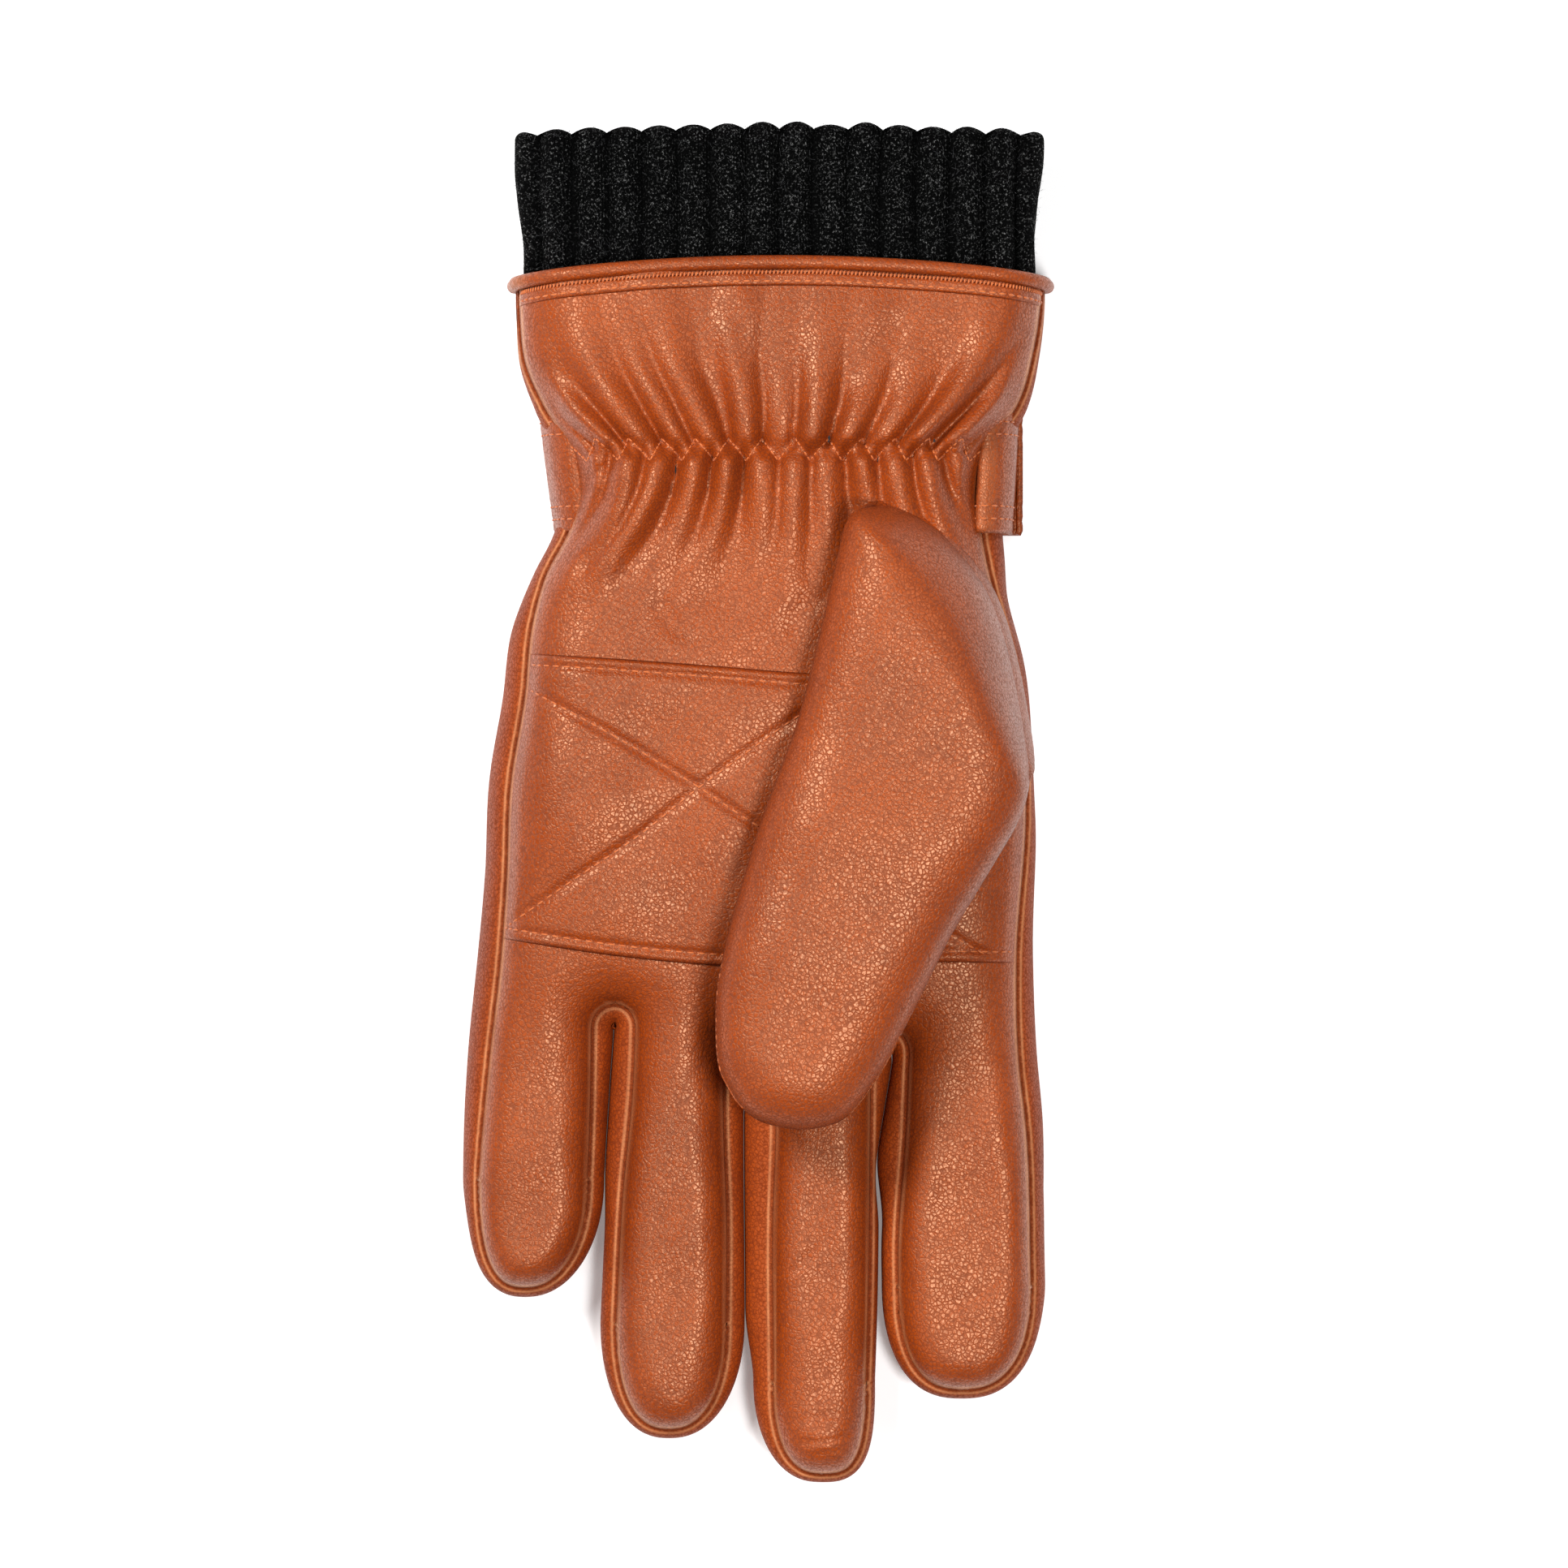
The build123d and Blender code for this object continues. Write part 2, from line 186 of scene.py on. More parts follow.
rimY = 107.2
leftSeam = curve((112, -49.0), (100, -49.0), (90, -47.7), (82, -44.2), (72, -38.6), (64, -37.2), (57, -38.6),
                 (47, -43.6),
                 (37, -46.4), (22, -48.0), (4, -50.9), (-16, -51.8), (-34, -53.2), (-52, -55.3),
                 (-80, -57.8), (-140, -58))
rightSeam = curve((112, 58.9), (103, 58.8), (93, 57.3), (82, 54.0), (73, 48.0), (65, 45.9), (55, 46.8),
                  (45, 48.8),
                  (36, 51.4), (26, 53.8), (14, 55.4), (-2, 55.8), (-32, 53.9), (-52, 54.3), (-68, 56.0),
                  (-99, 56.9))
leftBulge = curve((112, 0.5), (92, 1.0), (80, 2.0), (66, 3.7), (50, 2.4), (32, 4.4), (16, 4.7), (-10, 4.7),
                  (-40, 5.0), (-60, 4.4), (-80, 3.2))
rightBulge = curve((112, 0.5), (95, 1.2), (80, 2.2), (66, 4.2), (52, 4.0), (40, 2.3), (30, 2.3), (10, 1.6),
                   (-12, 2.6), (-34, 3.6), (-56, 3.9),
                   (-80, 3.0))
crestZ = curve((112, 26.8), (98, 27.2), (84, 26.0), (72, 24.8), (57, 26.2), (38, 27.4), (14, 27.6),
               (-14, 26.3), (-34, 24.0),
               (-56, 21.4), (-80, 20.8), (-140, 20.4))
lowZ = curve((112, 1.4), (98, 1.6), (84, 5.2), (72, 6.6), (57, 6.0), (38, 0.9), (20, 0.2), (-140, 0.2))
frontSeamZ = curve((112, 15.0), (72, 16.5), (30, 16.5), (-20, 15.5), (-50, 14.2), (-140, 13.6))
backSeamZ = curve((112, 9.0), (98, 9.0), (72, 10.5), (40, 6.0), (-140, 5.0))
frontRound = curve((112, 15.0), (72, 12.0), (20, 15.0), (-20, 14.0), (-46, 10.5), (-60, 8.0), (-140, 7.6))

# Each finger: its crotch on the thumb's side, its side seams below the crotches, and its tip
fingers = {
    "little": dict(tipBulge=2.0, right=[(-30, -33.6), (-68, -34.2), (-78, -34.6)], cap=-77.0, end=-100.2,
                   lean=-1.8, bulge=(3.0, 2.3), square=0.84),
    "ring": dict(tipBulge=2.0, left=[(-30, -25.0), (-60, -25.9), (-80, -27.8), (-108, -29.3)],
                 right=[(-30, -6.4), (-68, -6.5), (-85, -5.9), (-108, -6.0)], cap=-107.0, end=-129.4,
                 lean=-0.5, bulge=(3.1, 3.0), square=0.84),
    "middle": dict(tipBulge=1.9, left=[(-30, 2.6), (-68, 3.7), (-85, 3.1), (-120, 3.2)],
                   right=[(-30, 24.0), (-70, 23.7), (-105, 23.3), (-120, 22.8)], cap=-119.0, end=-138.6,
                   lean=0.9, bulge=(3.9, 1.7), square=0.72),
    "index": dict(tipBulge=2.0, left=[(-30, 32.6), (-52, 31.2), (-68, 30.5), (-93, 28.9), (-100, 29.0)],
                  cap=-99.0, end=-121.2, lean=-0.5,
                  bulge=(3.1, 2.9), square=0.8),
}
names = list(fingers)
knuckles = {j["name"].split("_")[0]: j["pos_m"][1] / mm for j in frame["joints"]
            if j["name"].endswith("_curl")}
bendHalf = 16.0      # the leather bends over this much each side of a knuckle
rowStep = 0.7
fingerColumns = 40
crotches = [(-29.2, -41.7), (-2.2, -44.5), (28.8, -47.6)]
gapFoot = [(-31.6, -80), (-2.4, -109), (24.5, -77)]
notchRound = 4.6


def shareAt(x, y):
    return (x - leftSeam(y)) / (rightSeam(y) - leftSeam(y))


gapLines = []
for (cx, cy), (fx, fy) in zip(crotches, gapFoot):
    share = shareAt(cx, cy)
    upper = [(y, float(leftSeam(y) + share * (rightSeam(y) - leftSeam(y))))
             for y in (112, 90, 72, 50, 20, -10)]
    gapLines.append(curve(*upper, (cy, cx), (fy, fx), (-140, fx)))


def notch(k, y):
    # How far the slit below crotch k is open, from 0 at the crotch to 1.
    return quarter((crotches[k][1] - np.asarray(y, float)) / notchRound)


def fingerSide(k, side, y):
    # The x of a finger's side seam, from the cuff to where its tip starts.
    if side == "left" and k == 0:
        return leftSeam(y)
    if side == "right" and k == 3:
        return rightSeam(y)
    gap = k - 1 if side == "left" else k
    middle = gapLines[gap](y)
    return middle + (curve(*fingers[names[k]][side])(y) - middle) * notch(gap, y)


def startRow(name):
    # How many rows from the rim to where a finger starts to bend.
    return int(round((rimY - knuckles[name] - bendHalf) / rowStep))


def tipLine(name, count=120):
    # A fingertip's outline, from its left side to its right.
    k, f = names.index(name), fingers[name]
    left, right = float(fingerSide(k, "left", f["cap"])), float(fingerSide(k, "right", f["cap"]))
    a = np.linspace(math.pi, 0, count + 1)
    across = np.sign(np.cos(a)) * np.abs(np.cos(a)) ** f["square"]
    x = (left + right) / 2 + (right - left) / 2 * across + f["lean"] * np.sin(a) ** 2
    return np.stack([x, f["cap"] + (f["end"] - f["cap"]) * np.sin(a) ** f["square"]], 1)


def sideLine(k, side, top, bottom, step=0.5):
    y = np.linspace(top, bottom, max(int(abs(top - bottom) / step), 2) + 1)
    return np.stack([fingerSide(k, side, y), y], 1)


def notchLine(k, y):
    # Round the top of a slit, from the left finger's side to the right one's, below y.
    t = np.linspace(0, 1, 60) ** 2
    ys = crotches[k][1] + (y - crotches[k][1]) * t
    left = np.stack([fingerSide(k, "right", ys), ys], 1)[::-1]
    right = np.stack([fingerSide(k + 1, "left", ys), ys], 1)
    return np.vstack([left, right[1:]])


# The whole edge of the palm leather as points, to measure how far inside it a place is
edgePoints = [sideLine(0, "left", 115, fingers["little"]["cap"]),
              sideLine(3, "right", 115, fingers["index"]["cap"])]
for k, name in enumerate(names):
    edgePoints.append(tipLine(name))
    if k > 0:
        edgePoints.append(sideLine(k, "left", crotches[k - 1][1], fingers[name]["cap"], 0.3))
    if k < 3:
        edgePoints.append(sideLine(k, "right", crotches[k][1], fingers[name]["cap"], 0.3))
        edgePoints.append(along(notchLine(k, crotches[k][1] - 6), 60))
edgePoints = np.vstack(edgePoints)


def treeOf(points):
    tree = KDTree(len(points))
    for i, p in enumerate(points):
        tree.insert((p[0], p[1], 0), i)
    tree.balance()
    return tree


def distanceTo(tree, x, y, slack=0.25):
    # Slack is half the space between an outline's points, so the outline itself is at nought all along.
    return np.maximum(np.array([tree.find((a, b, 0))[2] for a, b in zip(x, y)]) - slack, 0)


edgeTree = treeOf(edgePoints)

# The back leather wraps round the hand's outer sides to the front seams,
# and between the fingers it meets side strips


def bulgeAt(k, side, y):
    # How far the leather beside a side seam stands out past it.
    if side == "left" and k == 0:
        return leftBulge(y)
    if side == "right" and k == 3:
        return rightBulge(y)
    gap = k - 1 if side == "left" else k
    room = np.abs(curve(*fingers[names[k]][side])(y) - gapLines[gap](y)) - 0.02
    full = fingers[names[k]]["bulge"][0 if side == "left" else 1]
    apart = ease(gapFoot[gap][1] + 5, gapFoot[gap][1] - 11, y)
    return room * (1 - apart) + np.minimum(full, room + 2) * apart


def wrapAt(k, side):
    # 1 where the back leather wraps round a side in one piece, 0 where a side strip is sewn in.
    return 1.0 if (k, side) in ((0, "left"), (3, "right")) else 0.0


def edgeRun(line, bulge, wrap):
    # A stretch of the palm leather's edge: points, outward directions, bulges and wraps.
    line = np.asarray(line, float)
    turn = np.gradient(line, axis=0)
    turn /= np.linalg.norm(turn, axis=1)[:, None]
    return dict(line=line, out=np.stack([turn[:, 1], -turn[:, 0]], 1),
                bulge=np.asarray(bulge) + 0 * line[:, 0],
                wrap=np.asarray(wrap) + 0 * line[:, 0])


def tipRun(name, top, step=0.5):
    # From a finger's left side at top, down and round its tip, and up its right side.
    k, f = names.index(name), fingers[name]
    left, right = sideLine(k, "left", top, f["cap"], step), sideLine(k, "right", f["cap"], top, step)
    tip = along(tipLine(name), 90)[1:-1]
    line = np.vstack([left, tip, right])
    s = np.linspace(0, 1, len(tip))
    ends = bulgeAt(k, "left", f["cap"]), bulgeAt(k, "right", f["cap"])
    middle = f["tipBulge"]
    around = np.where(s < 0.5, middle + (ends[0] - middle) * ease(0.5, 0.0, s),
                      middle + (ends[1] - middle) * ease(0.5, 1.0, s))
    bulge = np.concatenate([bulgeAt(k, "left", left[:, 1]), around, bulgeAt(k, "right", right[:, 1])])
    wraps = wrapAt(k, "left") * ease(0.45, 0.0, s) + wrapAt(k, "right") * ease(0.55, 1.0, s)
    wrap = np.concatenate([0 * left[:, 0] + wrapAt(k, "left"), wraps, 0 * right[:, 0] + wrapAt(k, "right")])
    return edgeRun(line, bulge, wrap)


def backLine(run):
    # The outline of the back leather along a run of the palm leather's edge.
    return run["line"] + run["out"] * (run["bulge"] * run["wrap"])[:, None]


def backSide(k, side, y):
    sign = -1 if side == "left" else 1
    return fingerSide(k, side, y) + sign * bulgeAt(k, side, y) * wrapAt(k, side)


outerRuns = {
    "left": (lambda y: edgeRun(sideLine(0, "left", rimY, y),
                               leftBulge(sideLine(0, "left", rimY, y)[:, 1]), 1.0)),
    "right": (lambda y: edgeRun(sideLine(3, "right", y, rimY),
                                rightBulge(sideLine(3, "right", y, rimY)[:, 1]), 1.0)),
}
backPoints = [backLine(tipRun(name, crotches[min(k, 2)][1])) for k, name in enumerate(names)]
backPoints += [backLine(outerRuns["left"](-40)), backLine(outerRuns["right"](-40))]
backPoints += [along(notchLine(k, crotches[k][1] - 6), 60) for k in range(3)]
backTree = treeOf(np.vstack(backPoints))

# The gathered wrist: an elastic sewn in with a zigzag, and the folds it draws up
gather = dict(y=72.5, reach=2.3, count=13, height=5.0, fan=0.012)
foldDice = np.random.default_rng(5)
foldsUp = [dict(s=-1 + (i + 0.5 + foldDice.uniform(-0.1, 0.1)) * 2 / gather["count"],
                height=foldDice.uniform(0.65, 1.35), length=foldDice.uniform(10, 25),
                drift=foldDice.uniform(-0.0015, 0.0015), wide=foldDice.uniform(0.85, 1.05))
                for i in range(gather["count"])]
foldsDown = [dict(s=-1 + i * 2 / gather["count"], height=foldDice.uniform(0.6, 1.25),
                  length=foldDice.uniform(9, 24),
                  drift=foldDice.uniform(-0.0015, 0.0015), wide=foldDice.uniform(0.85, 1.05))
                  for i in range(gather["count"] + 1)]


def zigzagY(s):
    # The zigzag's y across the wrist, s from -1 to 1: low where the upper folds run in.
    phase = (s + 1) / 2 * gather["count"]
    return gather["y"] - gather["reach"] + 2 * gather["reach"] * np.abs(2 * (phase - np.floor(phase)) - 1)


def gathering(x, y):
    # Height that the gathers add to the palm leather.
    s = 2 * shareAt(x, y) - 1
    total = np.zeros_like(s)
    half = 1.0 / gather["count"]
    for folds, way, foot in ((foldsUp, 1, gather["y"] - gather["reach"]),
                             (foldsDown, -1, gather["y"] + gather["reach"])):
        run = (y - foot) * way
        ridge = np.zeros_like(s)
        for f in folds:
            spread = 1 + gather["fan"] * np.clip(run, 0, 40)
            off = np.abs(s / spread - f["s"] - f["drift"] * run) / (half * f["wide"] * spread)
            fade = np.exp(-(np.clip(run - 4, 0, None) / f["length"]) ** 1.6)
            lift = f["height"] * gather["height"] * ease(0, 5, run) * fade
            crest = np.clip(1 - off ** 2, 0, None) ** (0.75 + 0.9 * ease(5, 22, run))
            ridge = np.maximum(ridge, lift * crest)
        total = total + ridge
    for f in (foldsUp[1::3] + foldsDown[2::3]):
        off = (s - f["s"]) / (half * 2.2)
        total = total + 0.7 * np.exp(-off ** 2) * np.exp(-((y - gather["y"]) / (f["length"] * 1.5)) ** 2)
    sunk = 0.9 * np.exp(-((y - gather["y"]) / 4.2) ** 2)
    sewn = 0.9 * np.exp(-((y - zigzagY(s)) / 0.9) ** 2)
    return (total - sunk - sewn) * ease(0, 0.10, 1 - np.abs(s))


# Lone creases: from, to, how far they bow sideways, depth and width
creases = [((-29, 70.5), (-41.5, 53), 2.5, 1.5, 1.5), ((-27, 66), (-36, 45), 2.0, 0.8, 2.6),
           ((-33, 75), (-42, 84), -2.0, 1.2, 1.6),
           ((3.5, -98), (12.5, -90), 1.2, 0.55, 1.0), ((7, -131), (20, -129.5), 1.0, 0.5, 0.8),
           ((8, -127.5), (19, -126), -0.8, 0.35, 0.9),
           ((11, -133.5), (19, -132), 0.5, 0.4, 0.7), ((38, -104), (51, -96), 1.5, 0.3, 1.6),
           ((-20, 44), (-12, 34), 2.5, 0.7, 2.6),
           ((14, 43), (7, 33), 2.0, 0.7, 2.4), ((-3, 88), (-6, 100), 1.5, 0.8, 2.6),
           ((20, 84), (31, 98), -2.0, 0.8, 2.6)]


def creased(x, y):
    total = np.zeros_like(x)
    for (ax, ay), (bx, by), bow, depth, width in creases:
        length = math.hypot(bx - ax, by - ay)
        ux, uy = (bx - ax) / length, (by - ay) / length
        run = ((x - ax) * ux + (y - ay) * uy) / length
        off = (x - ax) * uy - (y - ay) * ux - bow * 4 * run * (1 - run)
        fade = ease(-0.1, 0.25, run) * ease(1.1, 0.75, run)
        fold = np.exp(-(off / width) ** 2) - 0.45 * np.exp(-(off / width / 2.6) ** 2)
        total = total - depth * fade * fold
    return total


def palmHeight(x, y, distance=None):
    # Height of the palm leather's face at a place in plan.
    x, y = np.asarray(x, float), np.asarray(y, float)
    d = distanceTo(edgeTree, x, y) if distance is None else distance
    top, seam = crestZ(y), frontSeamZ(y)
    z = seam + (top - seam) * quarter(d / frontRound(y))
    z = z + 0.42 * softWaves(x, y, 27, 3) * ease(0, 8, d)
    z = z - 0.9 * np.exp(-d / 0.75)
    z = z + gathering(x, y) * ease(0, 5, d) * ease(34, 50, y) + creased(x, y) * ease(0, 3, d)
    return z


def backHeight(x, y):
    d = distanceTo(backTree, x, y)
    low, seam = lowZ(y), backSeamZ(y)
    return seam - (seam - low) * quarter(d / frontRound(y))


def rimArch(x):
    # The cuff's edge is a shallow arch.
    share = np.clip((np.asarray(x, float) - 5) / 55, -1, 1)
    return 3.8 * (1 - share ** 2)


def archedY(x, y):
    return y + rimArch(x) * ease(86, rimY, y)


# Materials

class Value:
    # A socket that plain arithmetic can be written with.

    def __init__(self, tree, socket):
        self.tree, self.socket = tree, socket

    def math(self, operation, other=None, swap=False):
        node = self.tree.nodes.new("ShaderNodeMath")
        node.operation = operation
        for i, item in enumerate((other, self) if swap else (self, other)):
            if isinstance(item, Value):
                self.tree.links.new(item.socket, node.inputs[i])
            elif item is not None:
                node.inputs[i].default_value = item
        return Value(self.tree, node.outputs[0])

    def __add__(self, other):
        return self.math("ADD", other)

    def __mul__(self, other):
        return self.math("MULTIPLY", other)

    def __sub__(self, other):
        return self.math("SUBTRACT", other)

    def __rsub__(self, other):
        return self.math("SUBTRACT", other, True)

    def __truediv__(self, other):
        return self.math("DIVIDE", other)

    def __pow__(self, other):
        return self.math("POWER", other)

    __radd__, __rmul__ = __add__, __mul__

    def clamp(self):
        return self.math("MAXIMUM", 0.0).math("MINIMUM", 1.0)


class Finish:
    # A material, and the one way that its nodes are made.

    def __init__(self, name):
        self.material = bpy.data.materials.new(name)
        self.material.use_nodes = True
        self.tree = self.material.node_tree
        self.shader = self.tree.nodes["Principled BSDF"]
        self.coordinates = self.node("ShaderNodeTexCoord", out="Object")

    def node(self, kind, settings=None, out=0, **values):
        made = self.tree.nodes.new(kind)
        for key, setting in (settings or {}).items():
            if key == "stops":
                ramp = made.color_ramp
                for i, (position, color) in enumerate(setting):
                    stop = ramp.elements[i] if i < 2 else ramp.elements.new(position)
                    stop.position, stop.color = position, color
            else:
                setattr(made, key, setting)
        for key, value in values.items():
            key = key.replace("_", " ")
            socket = made.inputs[int(key[1:])] if key[0] == "i" and key[1:].isdigit() else made.inputs[key]
            if isinstance(value, Value):
                self.tree.links.new(value.socket, socket)
            else:
                socket.default_value = value
        return Value(self.tree, made.outputs[out])

    def mixColor(self, share, first, second):
        return self.node("ShaderNodeMix", dict(data_type="RGBA"), out=2, i0=share, i6=first, i7=second)

    def drive(self, **sockets):
        for key, value in sockets.items():
            socket = self.shader.inputs[key.replace("_", " ")]
            if isinstance(value, Value):
                self.tree.links.new(value.socket, socket)
            else:
                socket.default_value = value


def leatherFinish(name, look):
    f = Finish(name)
    place = f.coordinates
    warp = f.node("ShaderNodeTexNoise", out="Color", Vector=place, Scale=look["grain"] * 0.55, Detail=2.0)
    bent = f.node("ShaderNodeMix", dict(data_type="VECTOR"), out=1, i0=0.0006, i4=place, i5=warp)
    cells = f.node("ShaderNodeTexVoronoi", dict(feature="SMOOTH_F1"), out="Distance", Vector=bent,
                   Scale=look["grain"], Smoothness=0.35)
    lines = f.node("ShaderNodeTexVoronoi", dict(feature="DISTANCE_TO_EDGE"), out="Distance", Vector=bent,
                   Scale=look["grain"] * 0.8)
    fine = f.node("ShaderNodeTexNoise", out="Fac", Vector=place, Scale=2600.0, Detail=3.0)
    broad = f.node("ShaderNodeTexNoise", out="Fac", Vector=place, Scale=26.0, Detail=3.0)
    mottle = f.node("ShaderNodeTexNoise", out="Fac", Vector=place, Scale=140.0, Detail=4.0, Roughness=0.6)
    crease = (1 - lines * 6.0).clamp()
    pebble = (1 - (cells * 1.35) ** 2.0).clamp()
    height = pebble * 0.55 - crease * look["cracks"] + fine * 0.04 + mottle * 0.3
    tone = (broad * 0.55 + mottle * 0.35 + pebble * 0.25).clamp()
    color = f.node("ShaderNodeValToRGB", dict(stops=look["tones"]), out="Color", Fac=tone)
    color = f.mixColor(crease * 0.6, color, look["crease"])
    worn = f.node("ShaderNodeAttribute", dict(attribute_name="worn"), out="Fac")
    color = f.mixColor(worn * (0.15 + mottle * 0.7) * look["wear"], color, look["worn"])
    # painted shade: seam grooves are darkened towards the crease colour
    seamShade = f.node("ShaderNodeAttribute", dict(attribute_name="seamShade"), out="Fac")
    color = f.mixColor(seamShade * 0.6, color, look["crease"])
    bump = f.node("ShaderNodeBump", out="Normal", Strength=look["bump"], Distance=look["depth"],
                  Height=height)
    rough = look["rough"] + crease * 0.30 - pebble * 0.04 + broad * 0.08
    f.drive(Base_Color=color, Roughness=rough, Normal=bump, Specular_IOR_Level=look["shine"],
            Specular_Tint=look["glint"])
    return f.material


leatherLook = dict(
    grain=1450.0, bump=1.0, depth=0.00008, cracks=0.5, rough=0.34, shine=0.75, glint=(1, 0.72, 0.46, 1),
    wear=1.0,
    tones=[(0.3, (0.185, 0.023, 0.0015, 1)), (0.72, (0.315, 0.046, 0.003, 1))],
    # crease colour: the grain's cracks, and also the painted shade in seam grooves
    crease=(0.10, 0.010, 0.001, 1), worn=(0.70, 0.30, 0.13, 1))
leather = leatherFinish("leather", leatherLook)
sideLeather = leatherFinish("side leather", {**leatherLook, "rough": 0.56, "shine": 0.35})


def threadFinish(name, tone, dark):
    f = Finish(name)
    twist = f.node("ShaderNodeTexNoise", out="Fac", Vector=f.coordinates, Scale=1600.0, Detail=2.0)
    color = f.mixColor(twist, dark, tone)
    bump = f.node("ShaderNodeBump", out="Normal", Strength=0.5, Distance=0.0001, Height=twist)
    f.drive(Base_Color=color, Roughness=0.55, Normal=bump, Sheen_Weight=0.2)
    return f.material


thread = threadFinish("orange thread", (0.62, 0.15, 0.018, 1), (0.36, 0.065, 0.006, 1))


def knitFinish(name, look):
    f = Finish(name)
    uv = f.node("ShaderNodeUVMap", out="UV")
    split = f.tree.nodes.new("ShaderNodeSeparateXYZ")
    f.tree.links.new(uv.socket, split.inputs[0])
    column, row = Value(f.tree, split.outputs[0]), Value(f.tree, split.outputs[1])
    inColumn = column.math("FRACT") - 0.5
    lean = inColumn.math("ABSOLUTE")
    loop = (row + lean * 1.1).math("FRACT") - 0.5
    yarn = (1 - (loop.math("ABSOLUTE") * 2.0) ** 2.0) * (1 - (lean * 2.0 - 0.5).math("ABSOLUTE") * 1.2)
    fibre = f.node("ShaderNodeTexNoise", out="Fac", Vector=f.coordinates, Scale=1900.0, Detail=3.0,
                   Roughness=0.75)
    clump = f.node("ShaderNodeTexNoise", out="Fac", Vector=f.coordinates, Scale=330.0, Detail=3.0)
    furrowShade = ((column / 6.0).math("FRACT") - 0.5).math("ABSOLUTE") * 2.0
    fleck = ((fibre - 0.56) * 12.0).clamp() * (0.1 + clump)
    color = f.mixColor(((clump - 0.4) * 2.0).clamp(), look["dark"], look["mid"])
    color = f.mixColor((fleck * 0.6).clamp(), color, look["light"])
    # painted shade: near black between the yarn loops, and in the furrows between ribs
    color = f.mixColor(((1 - yarn.clamp()) * 0.85).clamp(), color, (0.0008, 0.0008, 0.0008, 1))
    color = f.mixColor((furrowShade ** 3.0 * 0.95).clamp(), color, (0.0005, 0.0005, 0.0005, 1))
    height = yarn * 1.3 + fibre * 0.6
    bump = f.node("ShaderNodeBump", out="Normal", Strength=0.9, Distance=0.0005, Height=height)
    f.drive(Base_Color=color, Roughness=0.92, Normal=bump, Specular_IOR_Level=0.04, Sheen_Weight=0.0,
            Sheen_Roughness=0.4)
    return f.material


knit = knitFinish("charcoal knit", dict(dark=(0.0008, 0.0008, 0.0008, 1), mid=(0.0025, 0.0025, 0.0026, 1),
                                        light=(0.46, 0.46, 0.45, 1)))


def plainFinish(name, tone, dark, rough, scale=900.0, metal=0.0, bumpHeight=0.0002):
    f = Finish(name)
    grain = f.node("ShaderNodeTexNoise", out="Fac", Vector=f.coordinates, Scale=scale, Detail=4.0)
    color = f.mixColor(grain, dark, tone)
    bump = f.node("ShaderNodeBump", out="Normal", Strength=0.5, Distance=bumpHeight, Height=grain)
    f.drive(Base_Color=color, Roughness=grain * 0.2 + (rough - 0.1), Normal=bump, Metallic=metal)
    return f.material


liningCloth = plainFinish("lining cloth", (0.045, 0.045, 0.05, 1), (0.015, 0.015, 0.017, 1), 0.95)
foamCloth = plainFinish("foam", (0.62, 0.60, 0.52, 1), (0.45, 0.43, 0.36, 1), 0.95)
snapMetal = plainFinish("antique brass", (0.55, 0.40, 0.22, 1), (0.20, 0.13, 0.07, 1), 0.38, 300.0, 1.0,
                        0.00002)


# Camera, floor and light
stageLook = dict(
    camera=(0.00567, 0.0040, 1.6), sensor=36, away=1.578, shown=0.322, clip=10, floor=3.0, glow=0.22,
    sky=0.06,
    lamps=[((-0.50, 0.44, 0.85), 0.28, 12), ((0.24, -0.18, 1.0), 0.22, 8.5),
           ((0.7, 0.5, 0.8), 0.4, 2), ((-0.7, -0.5, 0.8), 0.4, 1.5)])


def setStage(look):
    camera = bpy.data.objects.new("camera", bpy.data.cameras.new("camera"))
    camera.location = look["camera"]
    camera.data.sensor_width = look["sensor"]
    camera.data.lens = look["sensor"] * look["away"] / look["shown"]
    camera.data.clip_end = look["clip"]
    bpy.context.scene.collection.objects.link(camera)
    bpy.context.scene.camera = camera
    bm = bmesh.new()
    bmesh.ops.create_grid(bm, x_segments=1, y_segments=1, size=look["floor"])
    floor = makeObject("floor", bm)
    f = Finish("white floor")
    f.drive(Base_Color=(0.9, 0.9, 0.9, 1), Roughness=0.9, Emission_Color=(1, 1, 1, 1),
            Emission_Strength=look["glow"])
    floor.data.materials.append(f.material)
    world = bpy.data.worlds.new("world")
    world.use_nodes = True
    world.node_tree.nodes["Background"].inputs[0].default_value = (1, 1, 1, 1)
    world.node_tree.nodes["Background"].inputs[1].default_value = look["sky"]
    bpy.context.scene.world = world
    for place, size, power in look["lamps"]:
        lamp = bpy.data.lights.new("softbox", "AREA")
        lamp.size = size
        lamp.energy = power
        light = bpy.data.objects.new("softbox", lamp)
        light.location = place
        light.rotation_euler = (-Vector(place)).to_track_quat("-Z", "Y").to_euler()
        bpy.context.scene.collection.objects.link(light)
    bpy.context.scene.view_settings.view_transform = "Standard"


setStage(stageLook)


def finishPiece(piece, material, slotName, *nodes):
    piece.data.materials.clear()
    piece.data.materials.append(material)
    if nodes:
        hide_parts(*nodes)
    return piece


def markWorn(piece, amount):
    # Where the leather's finish is rubbed, 0 to 1 at each vertex.
    worn = piece.data.attributes.new("worn", "FLOAT", "POINT")
    worn.data.foreach_set("value", np.asarray(amount, np.float32))


def markSeam(piece, distance, width=0.3):
    # Painted shade in the groove at a seam, with a rubbed line beside it.
    distance = np.asarray(distance, float)
    markWorn(piece, np.exp(-((distance - 2.2 * width) / (0.8 * width)) ** 2))
    seamShade = piece.data.attributes.new("seamShade", "FLOAT", "POINT")
    seamShade.data.foreach_set("value", np.exp(-(distance / width) ** 2).astype(np.float32))


# The palm leather, as far as the bend of each finger
thick = dict(face=1.1, side=1.0, patch=1.0, foam=0.4, band=0.5)

